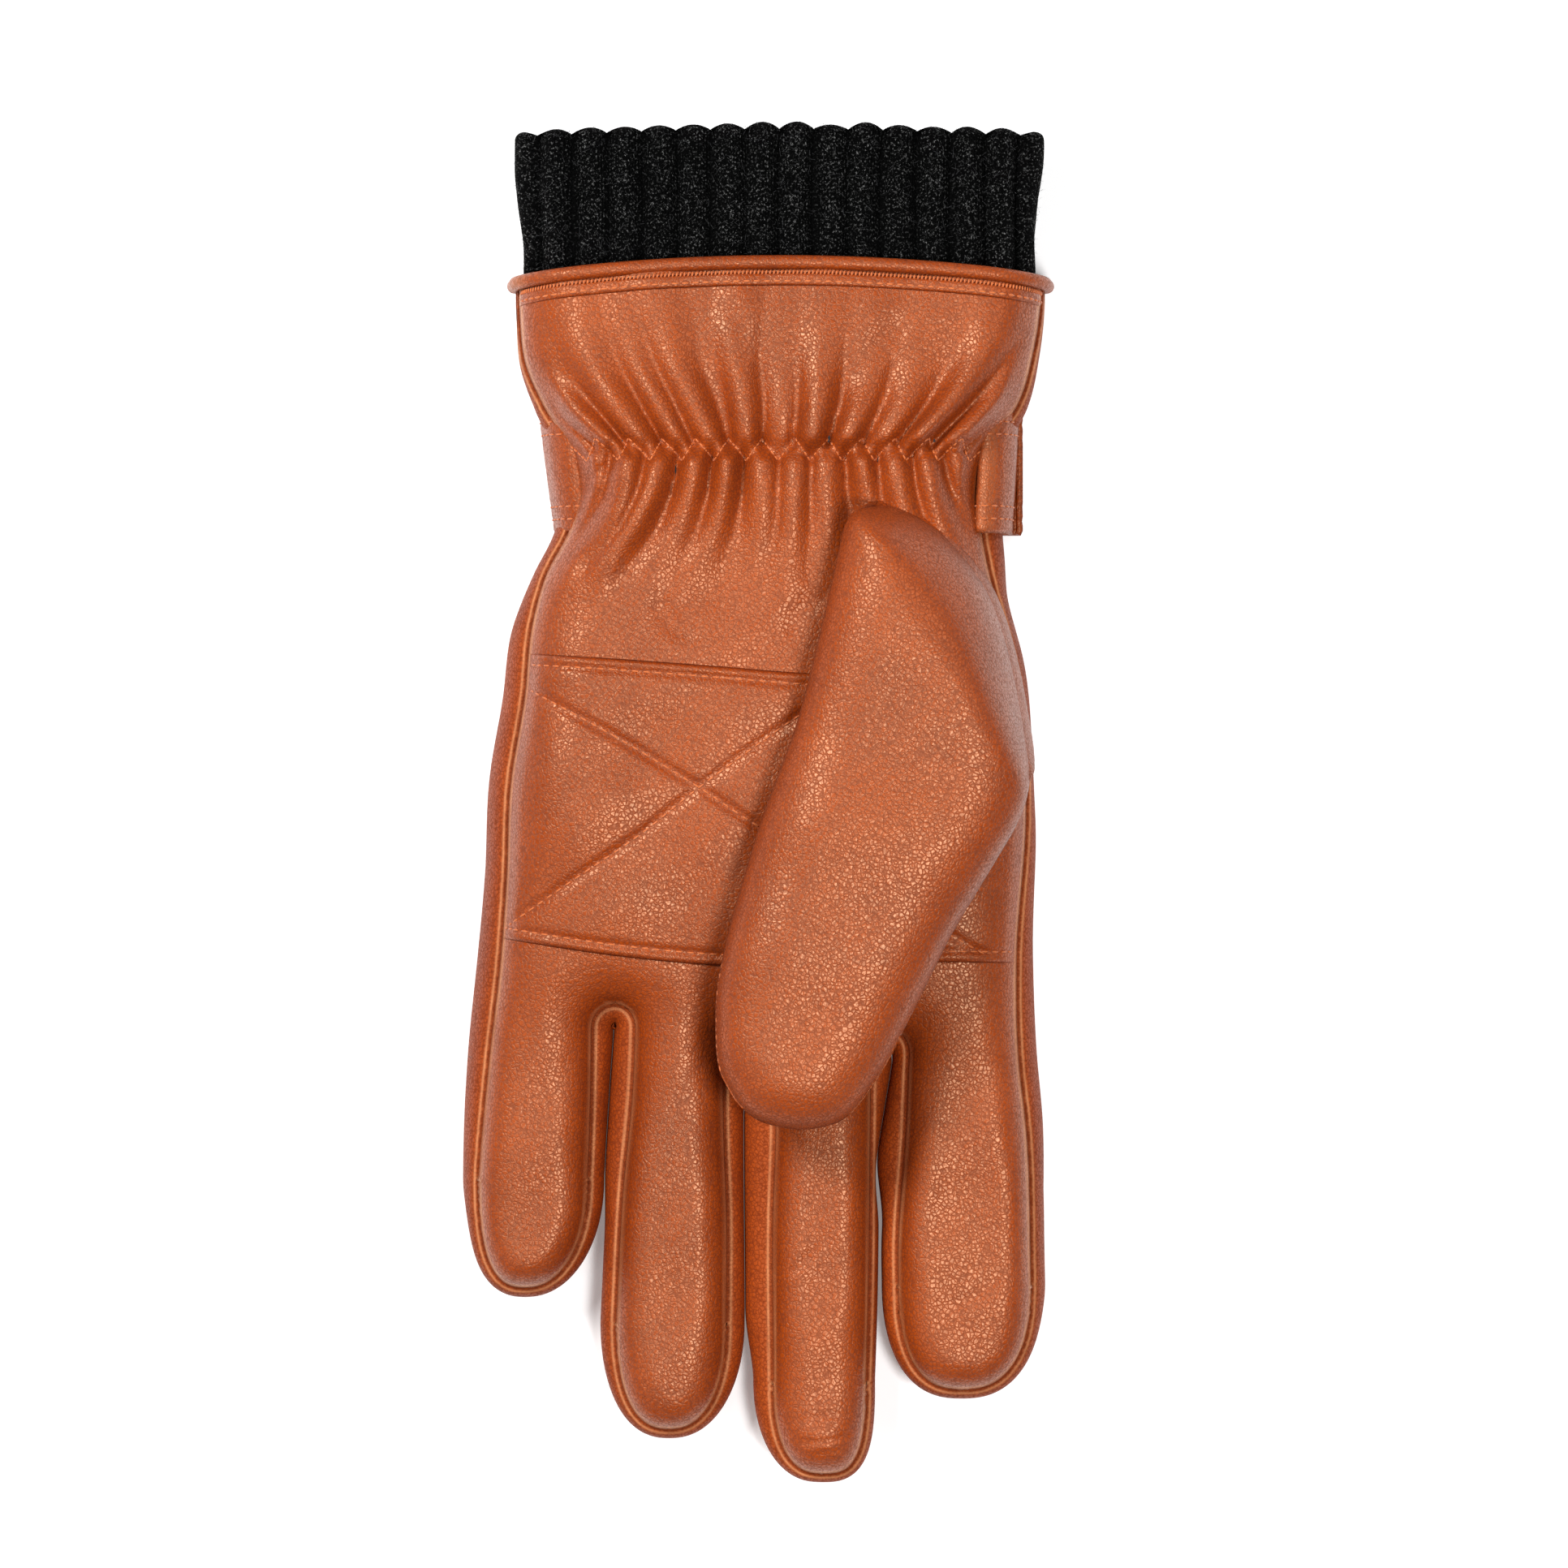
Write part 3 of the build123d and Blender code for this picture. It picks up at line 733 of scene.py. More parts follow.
def combSheet(bm, height, columns, step, facing, sides=fingerSide, arched=True):
    # The hand and the finger roots as one sheet, slit at the crotches.
    for k, name in enumerate(names):
        rows = int(round(startRow(name) * rowStep / step))
        bottom = rimY - startRow(name) * rowStep

        def place(u, v):
            y = rimY + (bottom - rimY) * v
            left, right = sides(k, "left", y), sides(k, "right", y)
            x = left + (right - left) * u
            return np.stack([x, archedY(x, y) if arched else y, height(x, y)], 1)
        gridSheet(bm, columns, rows, place, facing)
    weld(bm)


print("palm leather")
bm = bmesh.new()
combSheet(bm, palmHeight, fingerColumns, rowStep, (0, 0, 1))
palm = makeObject("palmLeather", bm)
co = np.array([v.co for v in palm.data.vertices]) / mm
markSeam(palm, distanceTo(edgeTree, co[:, 0], co[:, 1] - rimArch(co[:, 0]) * ease(86, rimY, co[:, 1]), 0))
finishPiece(palm, leather, "leather", "palm_panel")
for name in names:
    joinRow(palm, rimY - startRow(name) * rowStep)
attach(thicken(palm, thick["face"]), "hand")


def tipSheet(bm, name, height, step, facing, sides=fingerSide, tipOutline=tipLine):
    # A finger's front or back from the start of its bend to the end of its tip.
    k, f = names.index(name), fingers[name]
    top = rimY - startRow(name) * rowStep
    tip = along(tipOutline(name), 160)
    y = np.linspace(top, f["cap"], 100)
    left = np.vstack([np.stack([sides(k, "left", y), y], 1), tip[1:41]])
    right = np.vstack([np.stack([sides(k, "right", y), y], 1), tip[-2:-42:-1]])
    start = np.stack([left[0], right[0]])
    fill = coons(asSide(start), asSide(tip[40:121]), asSide(left), asSide(right))

    def place(u, v):
        xy = fill(u, v)
        return np.column_stack([xy, height(xy[:, 0], xy[:, 1])])
    gridSheet(bm, fingerColumns, int((top - f["end"]) / step), place, facing)


walls = dict(rows=26, groove=0.45, grooveReach=0.09, tuck=0.7, rise=0.9, sink=0.45, highReach=0.012,
             lowReach=0.02)


def wallSheet(bm, run):
    # The leather beside the palm leather's edge: it swells out and turns down to the back.
    count = max(int(len(run["line"]) * 0.9), 8)
    s = np.linspace(0, 1, len(run["line"]))

    def at(key, u):
        value = run[key]
        if value.ndim == 1:
            return np.interp(u, s, value)
        return np.stack([np.interp(u, s, value[:, 0]), np.interp(u, s, value[:, 1])], 1)

    def place(u, v):
        line, out, bulge, wrap = at("line", u), at("out", u), at("bulge", u), at("wrap", u)
        v = v ** 1.5
        high, low = frontSeamZ(line[:, 1]), backSeamZ(line[:, 1])
        strip = np.sin(math.pi * v)
        wrapped = np.sin(math.pi * v / 2)
        reach = bulge * (strip + (wrapped - strip) * wrap)
        drop = (1 - np.cos(math.pi * v)) / 2
        dropWrapped = 1 - np.cos(math.pi * v / 2)
        z = high - (high - low) * (drop + (dropWrapped - drop) * wrap)
        # both edges are tucked under the leather they are sewn to
        tuckHigh, tuckLow = np.exp(-v / walls["highReach"]), np.exp(-(1 - v) / walls["lowReach"])
        z = z - walls["groove"] * np.exp(-v / walls["grooveReach"])
        z = z + walls["rise"] * tuckHigh - walls["sink"] * tuckLow
        xy = line + out * (reach - walls["tuck"] * tuckHigh - walls["tuck"] * tuckLow)[:, None]
        return np.column_stack([xy, z])
    tree = KDTree(len(run["line"]))
    for i, p in enumerate(run["line"] + run["out"] * 0.01):
        tree.insert((p[0], p[1], 0), i)
    tree.balance()

    def facing(c):
        i = tree.find((c.x / mm, c.y / mm, 0))[1]
        return Vector((run["out"][i][0], run["out"][i][1], 0))
    gridSheet(bm, count, walls["rows"], place, facing)


def wearAndShadeAlong(piece, tree=edgeTree, width=0.3):
    # A rubbed line and painted seam shade along an outline.
    co = np.array([v.co for v in piece.data.vertices]) / mm
    markSeam(piece, distanceTo(tree, co[:, 0], co[:, 1], 0), width)


def bendWith(piece, name):
    # Keeps the light even at the row where a finger's bend would start, and bakes the piece's placement; the
    # piece is not bent here.
    y = rimY - startRow(name) * rowStep
    joinRow(piece, y)
    far = 2 * knuckles[name] - y
    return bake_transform(piece, "hand", name + "_finger", start=(0, y * mm, 0), end=(0, far * mm, 0))


print("back leather and the fingers' side strips")
bm = bmesh.new()
combSheet(bm, backHeight, 24, 1.4, (0, 0, -1), backSide, False)
back = makeObject("backLeather", bm)
wearAndShadeAlong(back, backTree)
finishPiece(back, leather, "leather", "back_panel")
for name in names:
    joinRow(back, rimY - startRow(name) * rowStep)
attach(thicken(back, thick["face"]), "hand")
bm = bmesh.new()
wallSheet(bm, outerRuns["left"](rimY - startRow("little") * rowStep))
wallSheet(bm, outerRuns["right"](rimY - startRow("index") * rowStep))
outer = makeObject("outerSides", bm)
wearAndShadeAlong(outer)
finishPiece(outer, sideLeather, "leather")
joinRow(outer, rimY - startRow("little") * rowStep)
joinRow(outer, rimY - startRow("index") * rowStep)
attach(thicken(outer, thick["side"]), "hand")

for k, gap in enumerate(["little_ring", "ring_middle", "middle_index"]):
    low = [rimY - startRow(names[i]) * rowStep for i in (k, k + 1)]
    up = sideLine(k, "right", low[0], crotches[k][1] - 6, 0.5)
    arch = along(notchLine(k, crotches[k][1] - 6), 60)[1:-1]
    down = sideLine(k + 1, "left", crotches[k][1] - 6, low[1], 0.5)
    line = np.vstack([up, arch, down])
    side = np.concatenate([bulgeAt(k, "right", up[:, 1]), 0 * arch[:, 0], bulgeAt(k + 1, "left", down[:, 1])])
    n = len(up)
    s = np.linspace(0, 1, len(arch))
    side[n:n + len(arch)] = side[n - 1] * (1 - s) + side[n + len(arch)] * s
    bm = bmesh.new()
    wallSheet(bm, edgeRun(line, side, 0.0))
    strip = makeObject("sideStrip" + gap.title().replace("_", ""), bm)
    wearAndShadeAlong(strip)
    finishPiece(strip, sideLeather, "leather", "fourchette_" + gap)
    for y in low:
        joinRow(strip, y)
    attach(thicken(strip, thick["side"]), "hand")

print("fingers")
for k, name in enumerate(names):
    top = rimY - startRow(name) * rowStep
    bm = bmesh.new()
    tipSheet(bm, name, palmHeight, 0.6, (0, 0, 1))
    front = makeObject(name + "Front", bm)
    wearAndShadeAlong(front)
    finishPiece(front, leather, "leather", name + "_tip_front")
    bendWith(front, name)
    thicken(front, thick["face"])
    bm = bmesh.new()
    wallSheet(bm, tipRun(name, top))
    strip = makeObject(name + "SideStrip", bm)
    wearAndShadeAlong(strip)
    strips = [n for n in frame["nodes"] if n.startswith(name + "_tip_fourchette")]
    finishPiece(strip, sideLeather, "leather", name + "_knuckle_sleeve", *strips)
    bendWith(strip, name)
    thicken(strip, thick["side"])
    bm = bmesh.new()

    def backTip(which):
        whole = tipRun(which, fingers[which]["cap"] + 3)
        return backLine(whole)[6:-6]
    tipSheet(bm, name, backHeight, 1.0, (0, 0, -1), backSide, backTip)
    under = makeObject(name + "Back", bm)
    wearAndShadeAlong(under, backTree)
    finishPiece(under, leather, "leather", name + "_tip_back")
    bendWith(under, name)
    thicken(under, thick["face"])


# Stitches

def stitch(bm, at, way, length, radius):
    turn = Vector(way).to_track_quat("Z", "Y").to_matrix().to_4x4()
    size = Matrix.Diagonal((radius * mm, radius * mm, length * mm / 2, 1))
    place = Matrix.Translation(Vector(at) * mm) @ turn @ size
    bmesh.ops.create_uvsphere(bm, u_segments=7, v_segments=5, radius=1, matrix=place)


def stitchLine(bm, path, pitch, length, radius=0.21, lift=0.05, height=None):
    # A row of stitches along plan points laid on a height, or along points in space.
    path = np.asarray(path, float)
    if height is not None:
        path = np.column_stack([path, height(path[:, 0], path[:, 1])])
    run = np.linalg.norm(np.diff(path, axis=0), axis=1).sum()
    even = along(path, max(int(round(run / pitch)) * 2, 2))
    for a, b, c in zip(even[:-2:2], even[1:-1:2], even[2::2]):
        stitch(bm, b + np.array([0, 0, lift]), c - a, length, radius)


def finishThread(bm, name, body=None):
    row = makeObject(name, bm)
    row.data.materials.append(thread)
    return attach(row, body) if body else row


# The padded patch across the palm
patch = dict(lift=1.3, roll=1.5, row=2.3, sunk=0.6, sewnWidth=0.9, puff=0.45,
             upper=[(-60, 31.6), (-47, 30.8), (-28, 29.6), (-9, 28.2), (12, 26.6), (30, 26.2), (60, 26.2)],
             lower=[(-60, -26.9), (-52, -27.9), (-28.7, -31.3), (-7, -33.3), (10, -33.6), (38, -32.6),
                    (60, -33.0)],
             first=[(-46.5, 23.3), (-28, 13.2), (-11.7, 3.3), (0.5, -4.7), (20, -16), (47, -31)],
             second=[(-51.2, -25.2), (-38, -16), (-24, -6.5), (-11.7, 3.3), (8.8, 18), (22, 25)])
upperLine = curve(*[(x, y) for x, y in patch["upper"]])
lowerLine = curve(*[(x, y) for x, y in patch["lower"]])
crossTree = treeOf(np.vstack([along(smoothLine(patch[key]), 300) for key in ("first", "second")]))


def patchHeight(x, y):
    d = distanceTo(edgeTree, x, y)
    edge = np.minimum(upperLine(x) - y, y - lowerLine(x))
    cross = distanceTo(crossTree, x, y)
    lift = patch["lift"] * quarter(edge / patch["roll"]) * ease(-0.5, 3, d)
    lift = lift + patch["puff"] * ease(0.5, 12, cross) * ease(2, 11, edge) * ease(1, 9, d)
    lift = lift - patch["sunk"] * np.exp(-((edge - patch["row"]) / patch["sewnWidth"]) ** 2) * ease(0, 2, d)
    lift = lift - patch["sunk"] * np.exp(-(cross / patch["sewnWidth"]) ** 2) * ease(1.0, 3.0, edge)
    return palmHeight(x, y, d) + 0.12 + lift


def patchSheet(bm, across, rows, height, inset=0.0):
    def place(u, v):
        y0 = upperLine(0) + (lowerLine(0) - upperLine(0)) * v
        left, right = leftSeam(y0) + 0.12 + inset, rightSeam(y0) - 0.12 - inset
        x = left + (right - left) * u
        for _ in range(3):
            y = upperLine(x) - inset + (lowerLine(x) - upperLine(x) + 2 * inset) * v
            x = leftSeam(y) + 0.12 + inset + (rightSeam(y) - leftSeam(y) - 0.24 - 2 * inset) * u
        return np.column_stack([x, y, height(x, y)])
    gridSheet(bm, across, rows, place, (0, 0, 1))


print("palm patch")
bm = bmesh.new()
patchSheet(bm, 230, 140, patchHeight)
cover = makeObject("patchLeather", bm)
wearAndShadeAlong(cover, width=0.25)
finishPiece(cover, leather, "leather", "palm_patch")
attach(thicken(cover, thick["patch"]), "hand")
bm = bmesh.new()
patchSheet(bm, 60, 40, (lambda x, y: patchHeight(x, y) - 1.05), 4.0)
padding = makeObject("patchFoam", bm)
finishPiece(padding, foamCloth, "foam", "patch_foam")
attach(thicken(padding, thick["foam"]), "hand")
bm = bmesh.new()
for line, sign in ((upperLine, -1), (lowerLine, 1)):
    y0 = line(0)
    x = np.linspace(leftSeam(y0) + 1.2, rightSeam(y0) - 1.2, 200)
    stitchLine(bm, np.stack([x, line(x) + sign * patch["row"]], 1), 2.35, 1.55, height=patchHeight)
for key in ("first", "second"):
    stitchLine(bm, smoothLine(patch[key]), 2.45, 1.55, height=patchHeight)
finishThread(bm, "patchThread", "hand")

print("wrist zigzag")
zigzagStitch = (1.4, 1.15, 0.23, 0.12)       # pitch, length, radius and lift
bm = bmesh.new()
corners = [-1 + i / gather["count"] for i in range(2 * gather["count"] + 1)]
for a, b in zip(corners, corners[1:]):
    leg = np.linspace(a, b, 12)
    y = zigzagY(leg)
    x = leftSeam(y) + (leg + 1) / 2 * (rightSeam(y) - leftSeam(y))
    stitchLine(bm, np.stack([x, y], 1), *zigzagStitch, palmHeight)
finishThread(bm, "zigzagThread", "hand")
elasticBand = dict(top=79, wide=13, inset=6, below=3.4, thick=0.6)
bm = bmesh.new()


def elasticPlace(u, v):
    y = elasticBand["top"] - elasticBand["wide"] * v
    x = leftSeam(y) + elasticBand["inset"] + (rightSeam(y) - leftSeam(y) - 2 * elasticBand["inset"]) * u
    return np.column_stack([x, y, palmHeight(x, y) - gathering(x, y) - elasticBand["below"]])


gridSheet(bm, 120, 16, elasticPlace)
elastic = makeObject("wristElastic", bm)
finishPiece(elastic, liningCloth, "elastic", "wrist_elastic")
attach(thicken(elastic, elasticBand["thick"]), "hand")

# The thumb: folded across the palm, set in along its upper right edge
thumbLook = dict(crest=48.3, edge=39.2, under=29.9, round=13.5, underRound=10.0, start=-8, end=22)
hinge = next(j for j in frame["joints"] if j["name"] == "thumb_unfold")
hingeAt = np.array(hinge["pos_m"][:2]) / mm
hingeWay = np.array(hinge["axis"][:2])
awayWay = np.array([-hingeWay[1], hingeWay[0]])
thumbLeft = [(25.5, 61.3), (21.0, 60.2), (18.3, 57.2), (17.0, 52.5), (13.8, 38.3), (8.8, 18.3), (4.7, 6.7),
             (0.5, -5), (-4.5, -21.7),
             (-7.6, -35), (-8.3, -43.3), (-7.7, -53.3), (-4.5, -60)]
thumbTip = [(-4.5, -60), (-1.8, -62.9), (1.9, -65.0), (8.8, -66.3), (15.6, -65.2), (19.0, -63.2),
            (21.8, -60.0)]
thumbRight = [(33, 59.2), (38.8, 55), (44.7, 48.3), (48.8, 41.7), (52.2, 31.7), (55, 18.3), (56.0, 8.5),
              (55.2, 1.8), (53.0, -4.2),
              (49.7, -10), (44.7, -18.3), (39.7, -26.7), (34.7, -36.7), (29.7, -46.7), (26.3, -53.3),
              (21.8, -60.0)]
thumbTop = [(25.5, 61.3), (29.2, 61.0), (33, 59.2)]
thumbSides = [smoothLine(p) for p in (thumbTop, thumbTip, thumbLeft, thumbRight)]
thumbTree = treeOf(np.vstack([along(line, 400) for line in thumbSides]))


def pastHinge(x, y):
    # How far a place is past the line that the thumb turns about, towards the tip.
    return (x - hingeAt[0]) * awayWay[0] + (y - hingeAt[1]) * awayWay[1]


if pastHinge(0, -60) < 0:
    awayWay = -awayWay


def thumbEdge(x, y):
    d = distanceTo(edgeTree, x, y)
    palmZ = frontSeamZ(y) + (crestZ(y) - frontSeamZ(y)) * quarter(d / frontRound(y)) - 0.4
    return thumbLook["edge"] + (palmZ - thumbLook["edge"]) * ease(3, -7, pastHinge(x, y))


def thumbHeight(x, y):
    d, q = distanceTo(thumbTree, x, y), pastHinge(x, y)
    edge = thumbEdge(x, y)
    crest = thumbLook["crest"] - 5.5 * ease(4, -14, q) + 0.35 * softWaves(x, y, 34, 8)
    z = edge + (crest - edge) * quarter(d / (thumbLook["round"] - 2.5 * ease(60, 80, q)))
    return z - 0.8 * np.exp(-d / 0.5)


def thumbUnder(x, y):
    d = distanceTo(thumbTree, x, y)
    edge = thumbEdge(x, y) - 0.8
    return edge + (thumbLook["under"] - edge) * quarter(d / thumbLook["underRound"])


def bendThumb(piece):
    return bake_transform(piece)


def thumbSheet(bm, across, rows, height, facing, inset=0.0):
    fill = coons(*[asSide(line, 400) for line in thumbSides])

    def place(u, v):
        xy = fill(inset + (1 - 2 * inset) * u, inset + (1 - 2 * inset) * v)
        return np.column_stack([xy, height(xy[:, 0], xy[:, 1])])
    gridSheet(bm, across, rows, place, facing)


print("thumb")
bm = bmesh.new()
thumbSheet(bm, 90, 210, thumbHeight, (0, 0, 1))
thumbFront = makeObject("thumbFront", bm)
markWorn(thumbFront, np.zeros(len(thumbFront.data.vertices)))
finishPiece(thumbFront, leather, "leather", "thumb_front", "thumb_gusset")
bendThumb(thumbFront)
thicken(thumbFront, thick["face"])
bm = bmesh.new()
thumbSheet(bm, 90, 210, thumbUnder, (0, 0, -1))
thumbBack = makeObject("thumbBack", bm)
markWorn(thumbBack, np.zeros(len(thumbBack.data.vertices)))
finishPiece(thumbBack, leather, "leather", "thumb_back")
bendThumb(thumbBack)
thicken(thumbBack, thick["face"])
bm = bmesh.new()
thumbSheet(bm, 24, 50, (lambda x, y: thumbHeight(x, y) - 1.9 * ease(0, 5, distanceTo(thumbTree, x, y))),
           (0, 0, 1), 0.04)
thumbSheet(bm, 24, 50, (lambda x, y: thumbUnder(x, y) + 1.9 * ease(0, 5, distanceTo(thumbTree, x, y))),
           (0, 0, -1), 0.04)
sock = makeObject("thumbLining", bm)
finishPiece(sock, liningCloth, "lining", "thumb_lining")
bendThumb(sock)
bm = bmesh.new()
seamPart = thumbSides[2][(thumbSides[2][:, 1] < -32) & (thumbSides[2][:, 1] > -58)] + np.array([0.25, 0])
stitchLine(bm, seamPart, 1.9, 1.2, 0.17, 0.1, lambda x, y: thumbHeight(x, y) + 0.3)
thumbThread = finishThread(bm, "thumbThread")
bendThumb(thumbThread)

# The cuff: a corded edge, a stitched band below it, and a ribbed knit inside
cuff = dict(bead=1.45, band=(2.3, 5.0), bandLift=0.75, ribs=32, ribDepth=2.7, knitTop=136.6, knitLow=99.0,
            layer=3.4,
            knitMiddle=(4.7, 14.2), knitHalf=(51.6, 9.4), knitSquare=0.5, perRib=20, knitRows=150,
            knitFold=(0.52, 0.64))


def sectionLoop(y, inward=0.0, count=400):
    # Round the hand at a given y: front, thumb side, back and little finger side, as x and z.
    left, right = float(leftSeam(y)), float(rightSeam(y))
    t = (1 - np.cos(np.linspace(0, math.pi, 160))) / 2
    x = left + (right - left) * t
    d = np.minimum(x - left, right - x)
    high, low = float(frontSeamZ(y)), float(backSeamZ(y))
    front = high + (crestZ(y) - high) * quarter(d / frontRound(y))
    xb = left - leftBulge(y) + (right + rightBulge(y) - left + leftBulge(y)) * t
    db = np.minimum(xb - xb[0], xb[-1] - xb)
    under = low - (low - lowZ(y)) * quarter(db / frontRound(y))
    loop = np.vstack([np.stack([x, front], 1), np.stack([xb, under], 1)[::-1], [[x[0], front[0]]]])
    loop = along(loop, count)
    if inward:
        turn = np.roll(loop, -1, 0) - np.roll(loop, 1, 0)
        turn /= np.linalg.norm(turn, axis=1)[:, None]
        loop = loop - np.stack([-turn[:, 1], turn[:, 0]], 1) * inward
    return loop


def roundTube(bm, y, radius, lift, around=20, count=420):
    # A cord round the cuff's edge.
    loop = sectionLoop(y, -lift, count)
    turn = np.roll(loop[:-1], -1, 0) - np.roll(loop[:-1], 1, 0)
    turn /= np.linalg.norm(turn, axis=1)[:, None]
    out = np.stack([-turn[:, 1], turn[:, 0]], 1)

    def place(u, v):
        i = np.rint(u * count).astype(int) % count
        a = v * 2 * math.pi
        xz = loop[i] + out[i] * (np.cos(a) * radius)[:, None]
        y2 = y + rimArch(loop[i, 0]) * ease(8, 17, loop[i, 1]) + np.sin(a) * radius
        return np.column_stack([xz[:, 0], y2, xz[:, 1]])
    gridSheet(bm, count, around, place)
    weld(bm)
    bmesh.ops.recalc_face_normals(bm, faces=bm.faces)


print("cuff")
bm = bmesh.new()
roundTube(bm, rimY - 0.2, cuff["bead"], 0.55)
bead = makeObject("cuffPiping", bm)
markWorn(bead, [0.35 * float(ease(-46, -50, v.co.x / mm)) for v in bead.data.vertices])
finishPiece(bead, leather, "leather", "cuff_piping")
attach(bead, "hand")
bm = bmesh.new()
roundTube(bm, rimY - 0.2, 0.6, 0.55, around=8, count=120)
cord = makeObject("pipingCord", bm)
finishPiece(cord, foamCloth, "cord", "piping_cord")
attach(cord, "hand")


def bandPlace(front):
    def place(u, v):
        t = (1 - np.cos(u * math.pi)) / 2
        y = rimY - cuff["band"][0] - (cuff["band"][1] - cuff["band"][0]) * v
        grow = 0 if front else 1
        left, right = leftSeam(y) - grow * leftBulge(y), rightSeam(y) + grow * rightBulge(y)
        x = left + (right - left) * t
        d = np.minimum(x - left, right - x)
        seam, top = (frontSeamZ(y), crestZ(y)) if front else (backSeamZ(y), lowZ(y))
        z = seam + (top - seam) * quarter(d / frontRound(y))
        if front:
            z = palmHeight(x, y)
        lift = cuff["bandLift"] * quarter((1 - v) / 0.3) * quarter(v / 0.3) + 0.06
        return np.column_stack([x, y + rimArch(x) * front, z + lift * (1 if front else -1)])
    return place


bm = bmesh.new()
gridSheet(bm, 240, 14, bandPlace(1), (0, 0, 1))
gridSheet(bm, 200, 10, bandPlace(0), (0, 0, -1))
band = makeObject("cuffBand", bm)
wearAndShadeAlong(band, width=0.2)
finishPiece(band, leather, "leather", "cuff_band")
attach(thicken(band, thick["band"]), "hand")
bm = bmesh.new()
x = np.linspace(-48.5, 58.8, 300)
y = rimY - cuff["band"][1] + 0.9
lineAt = np.column_stack([x, y + rimArch(x), palmHeight(x, x * 0 + y) + cuff["bandLift"] + 0.05])
stitchLine(bm, lineAt, 2.1, 1.5, 0.27)
y = rimY - cuff["band"][0]
lineAt = np.column_stack([x, y + rimArch(x), palmHeight(x, x * 0 + y) + cuff["bandLift"] + 0.02])
for a, b in zip(along(lineAt, 150)[:-1], along(lineAt, 150)[1:]):
    stitch(bm, (a + b) / 2, (0.15, 1, 0), 0.95, 0.22)
finishThread(bm, "cuffThread", "hand")


def knitLoop(count):
    a = np.linspace(0, 2 * math.pi, 721)
    (cx, cz), (wide, tall), power = cuff["knitMiddle"], cuff["knitHalf"], cuff["knitSquare"]
    x = cx + wide * np.sign(np.cos(a)) * np.abs(np.cos(a)) ** power
    z = cz + tall * np.sign(np.sin(a)) * np.abs(np.sin(a)) ** power
    return along(np.stack([x, z], 1), count)


print("knit cuff")
knitCount = cuff["ribs"] * cuff["perRib"]
knitPath = knitLoop(knitCount)[:-1]
turn = np.roll(knitPath, -2, 0) - np.roll(knitPath, 2, 0)
turn /= np.linalg.norm(turn, axis=1)[:, None]
knitOut = np.stack([turn[:, 1], -turn[:, 0]], 1)
ribDice = np.random.default_rng(7)
ribTall = ribDice.uniform(0.7, 1.15, cuff["ribs"])
ribLean = ribDice.uniform(-1.0, 1.0, cuff["ribs"])


def ribShape(share):
    # A rib's roundness, 0 in the furrows and 1 on the crowns.
    return np.abs(np.sin(math.pi * share * cuff["ribs"])) ** 0.85


def knitPlace(u, v):
    rib = np.floor(u * cuff["ribs"]).astype(int) % cuff["ribs"]
    crown = ribShape(u)
    i = np.rint(u * knitCount).astype(int) % knitCount
    arch = 1.7 * (1 - ((knitPath[i, 0] - 5) / 54) ** 2) * ease(8, 20, knitPath[i, 1])
    top = cuff["knitTop"] + 1.5 * crown * ribTall[rib] + arch
    low, (foldFrom, foldTo) = cuff["knitLow"], cuff["knitFold"]
    outer, fold = v < foldFrom, (v >= foldFrom) & (v < foldTo)
    angle = np.clip((v - foldFrom) / (foldTo - foldFrom), 0, 1) * math.pi
    half = cuff["layer"] / 2
    y = np.where(outer, low + (top - half - low) * v / foldFrom,
                 top - half - (top - half - low) * np.clip((v - foldTo) / (1 - foldTo), 0, 1))
    y = y + np.where(fold, np.sin(angle) * half, 0)
    inset = half - np.cos(angle) * half
    turning = np.cos(angle / 2) ** 2 + 0.45 * np.sin(angle / 2) ** 2
    depth = cuff["ribDepth"] * (crown - 1) * np.where(outer, 1.0, np.where(fold, turning, 0.45))
    tuck = 1.6 * ease(110, 103, y) - 1.5 * ease(114, 136, y) * np.abs(knitOut[i, 0])
    reach = np.where(v < (foldFrom + foldTo) / 2, depth - inset, -inset - depth * 0.6) - tuck
    swell = 0.45 * np.sin(u * 25 + y * 0.11) + 0.25 * np.sin(u * 61 - y * 0.23)
    xz = knitPath[i] + knitOut[i] * (reach + 1.5 + swell * ease(104, 120, y))[:, None]
    shift = ribLean[rib] * 0.6 * np.sin((y - 108) / 30 * math.pi)
    return np.column_stack([xz[:, 0] + shift, y, xz[:, 1]])


bm = bmesh.new()
made = gridSheet(bm, knitCount, cuff["knitRows"], knitPlace)
layer = bm.loops.layers.uv.new("UVMap")
bm.verts.index_update()
order = {v: i for i, v in enumerate(made)}
for face in bm.faces:
    at = [order[l.vert] for l in face.loops]
    for loop, i in zip(face.loops, at):
        # six columns of stitches to a rib, and 74 rows of them
        loop[layer].uv = ((i % (knitCount + 1)) / cuff["perRib"] * 6,
                          (i // (knitCount + 1)) / cuff["knitRows"] * 74)
weld(bm)
bmesh.ops.recalc_face_normals(bm, faces=bm.faces)
ribbed = makeObject("knitCuff", bm)
finishPiece(ribbed, knit, "knit", "knit_cuff")
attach(ribbed, "hand")

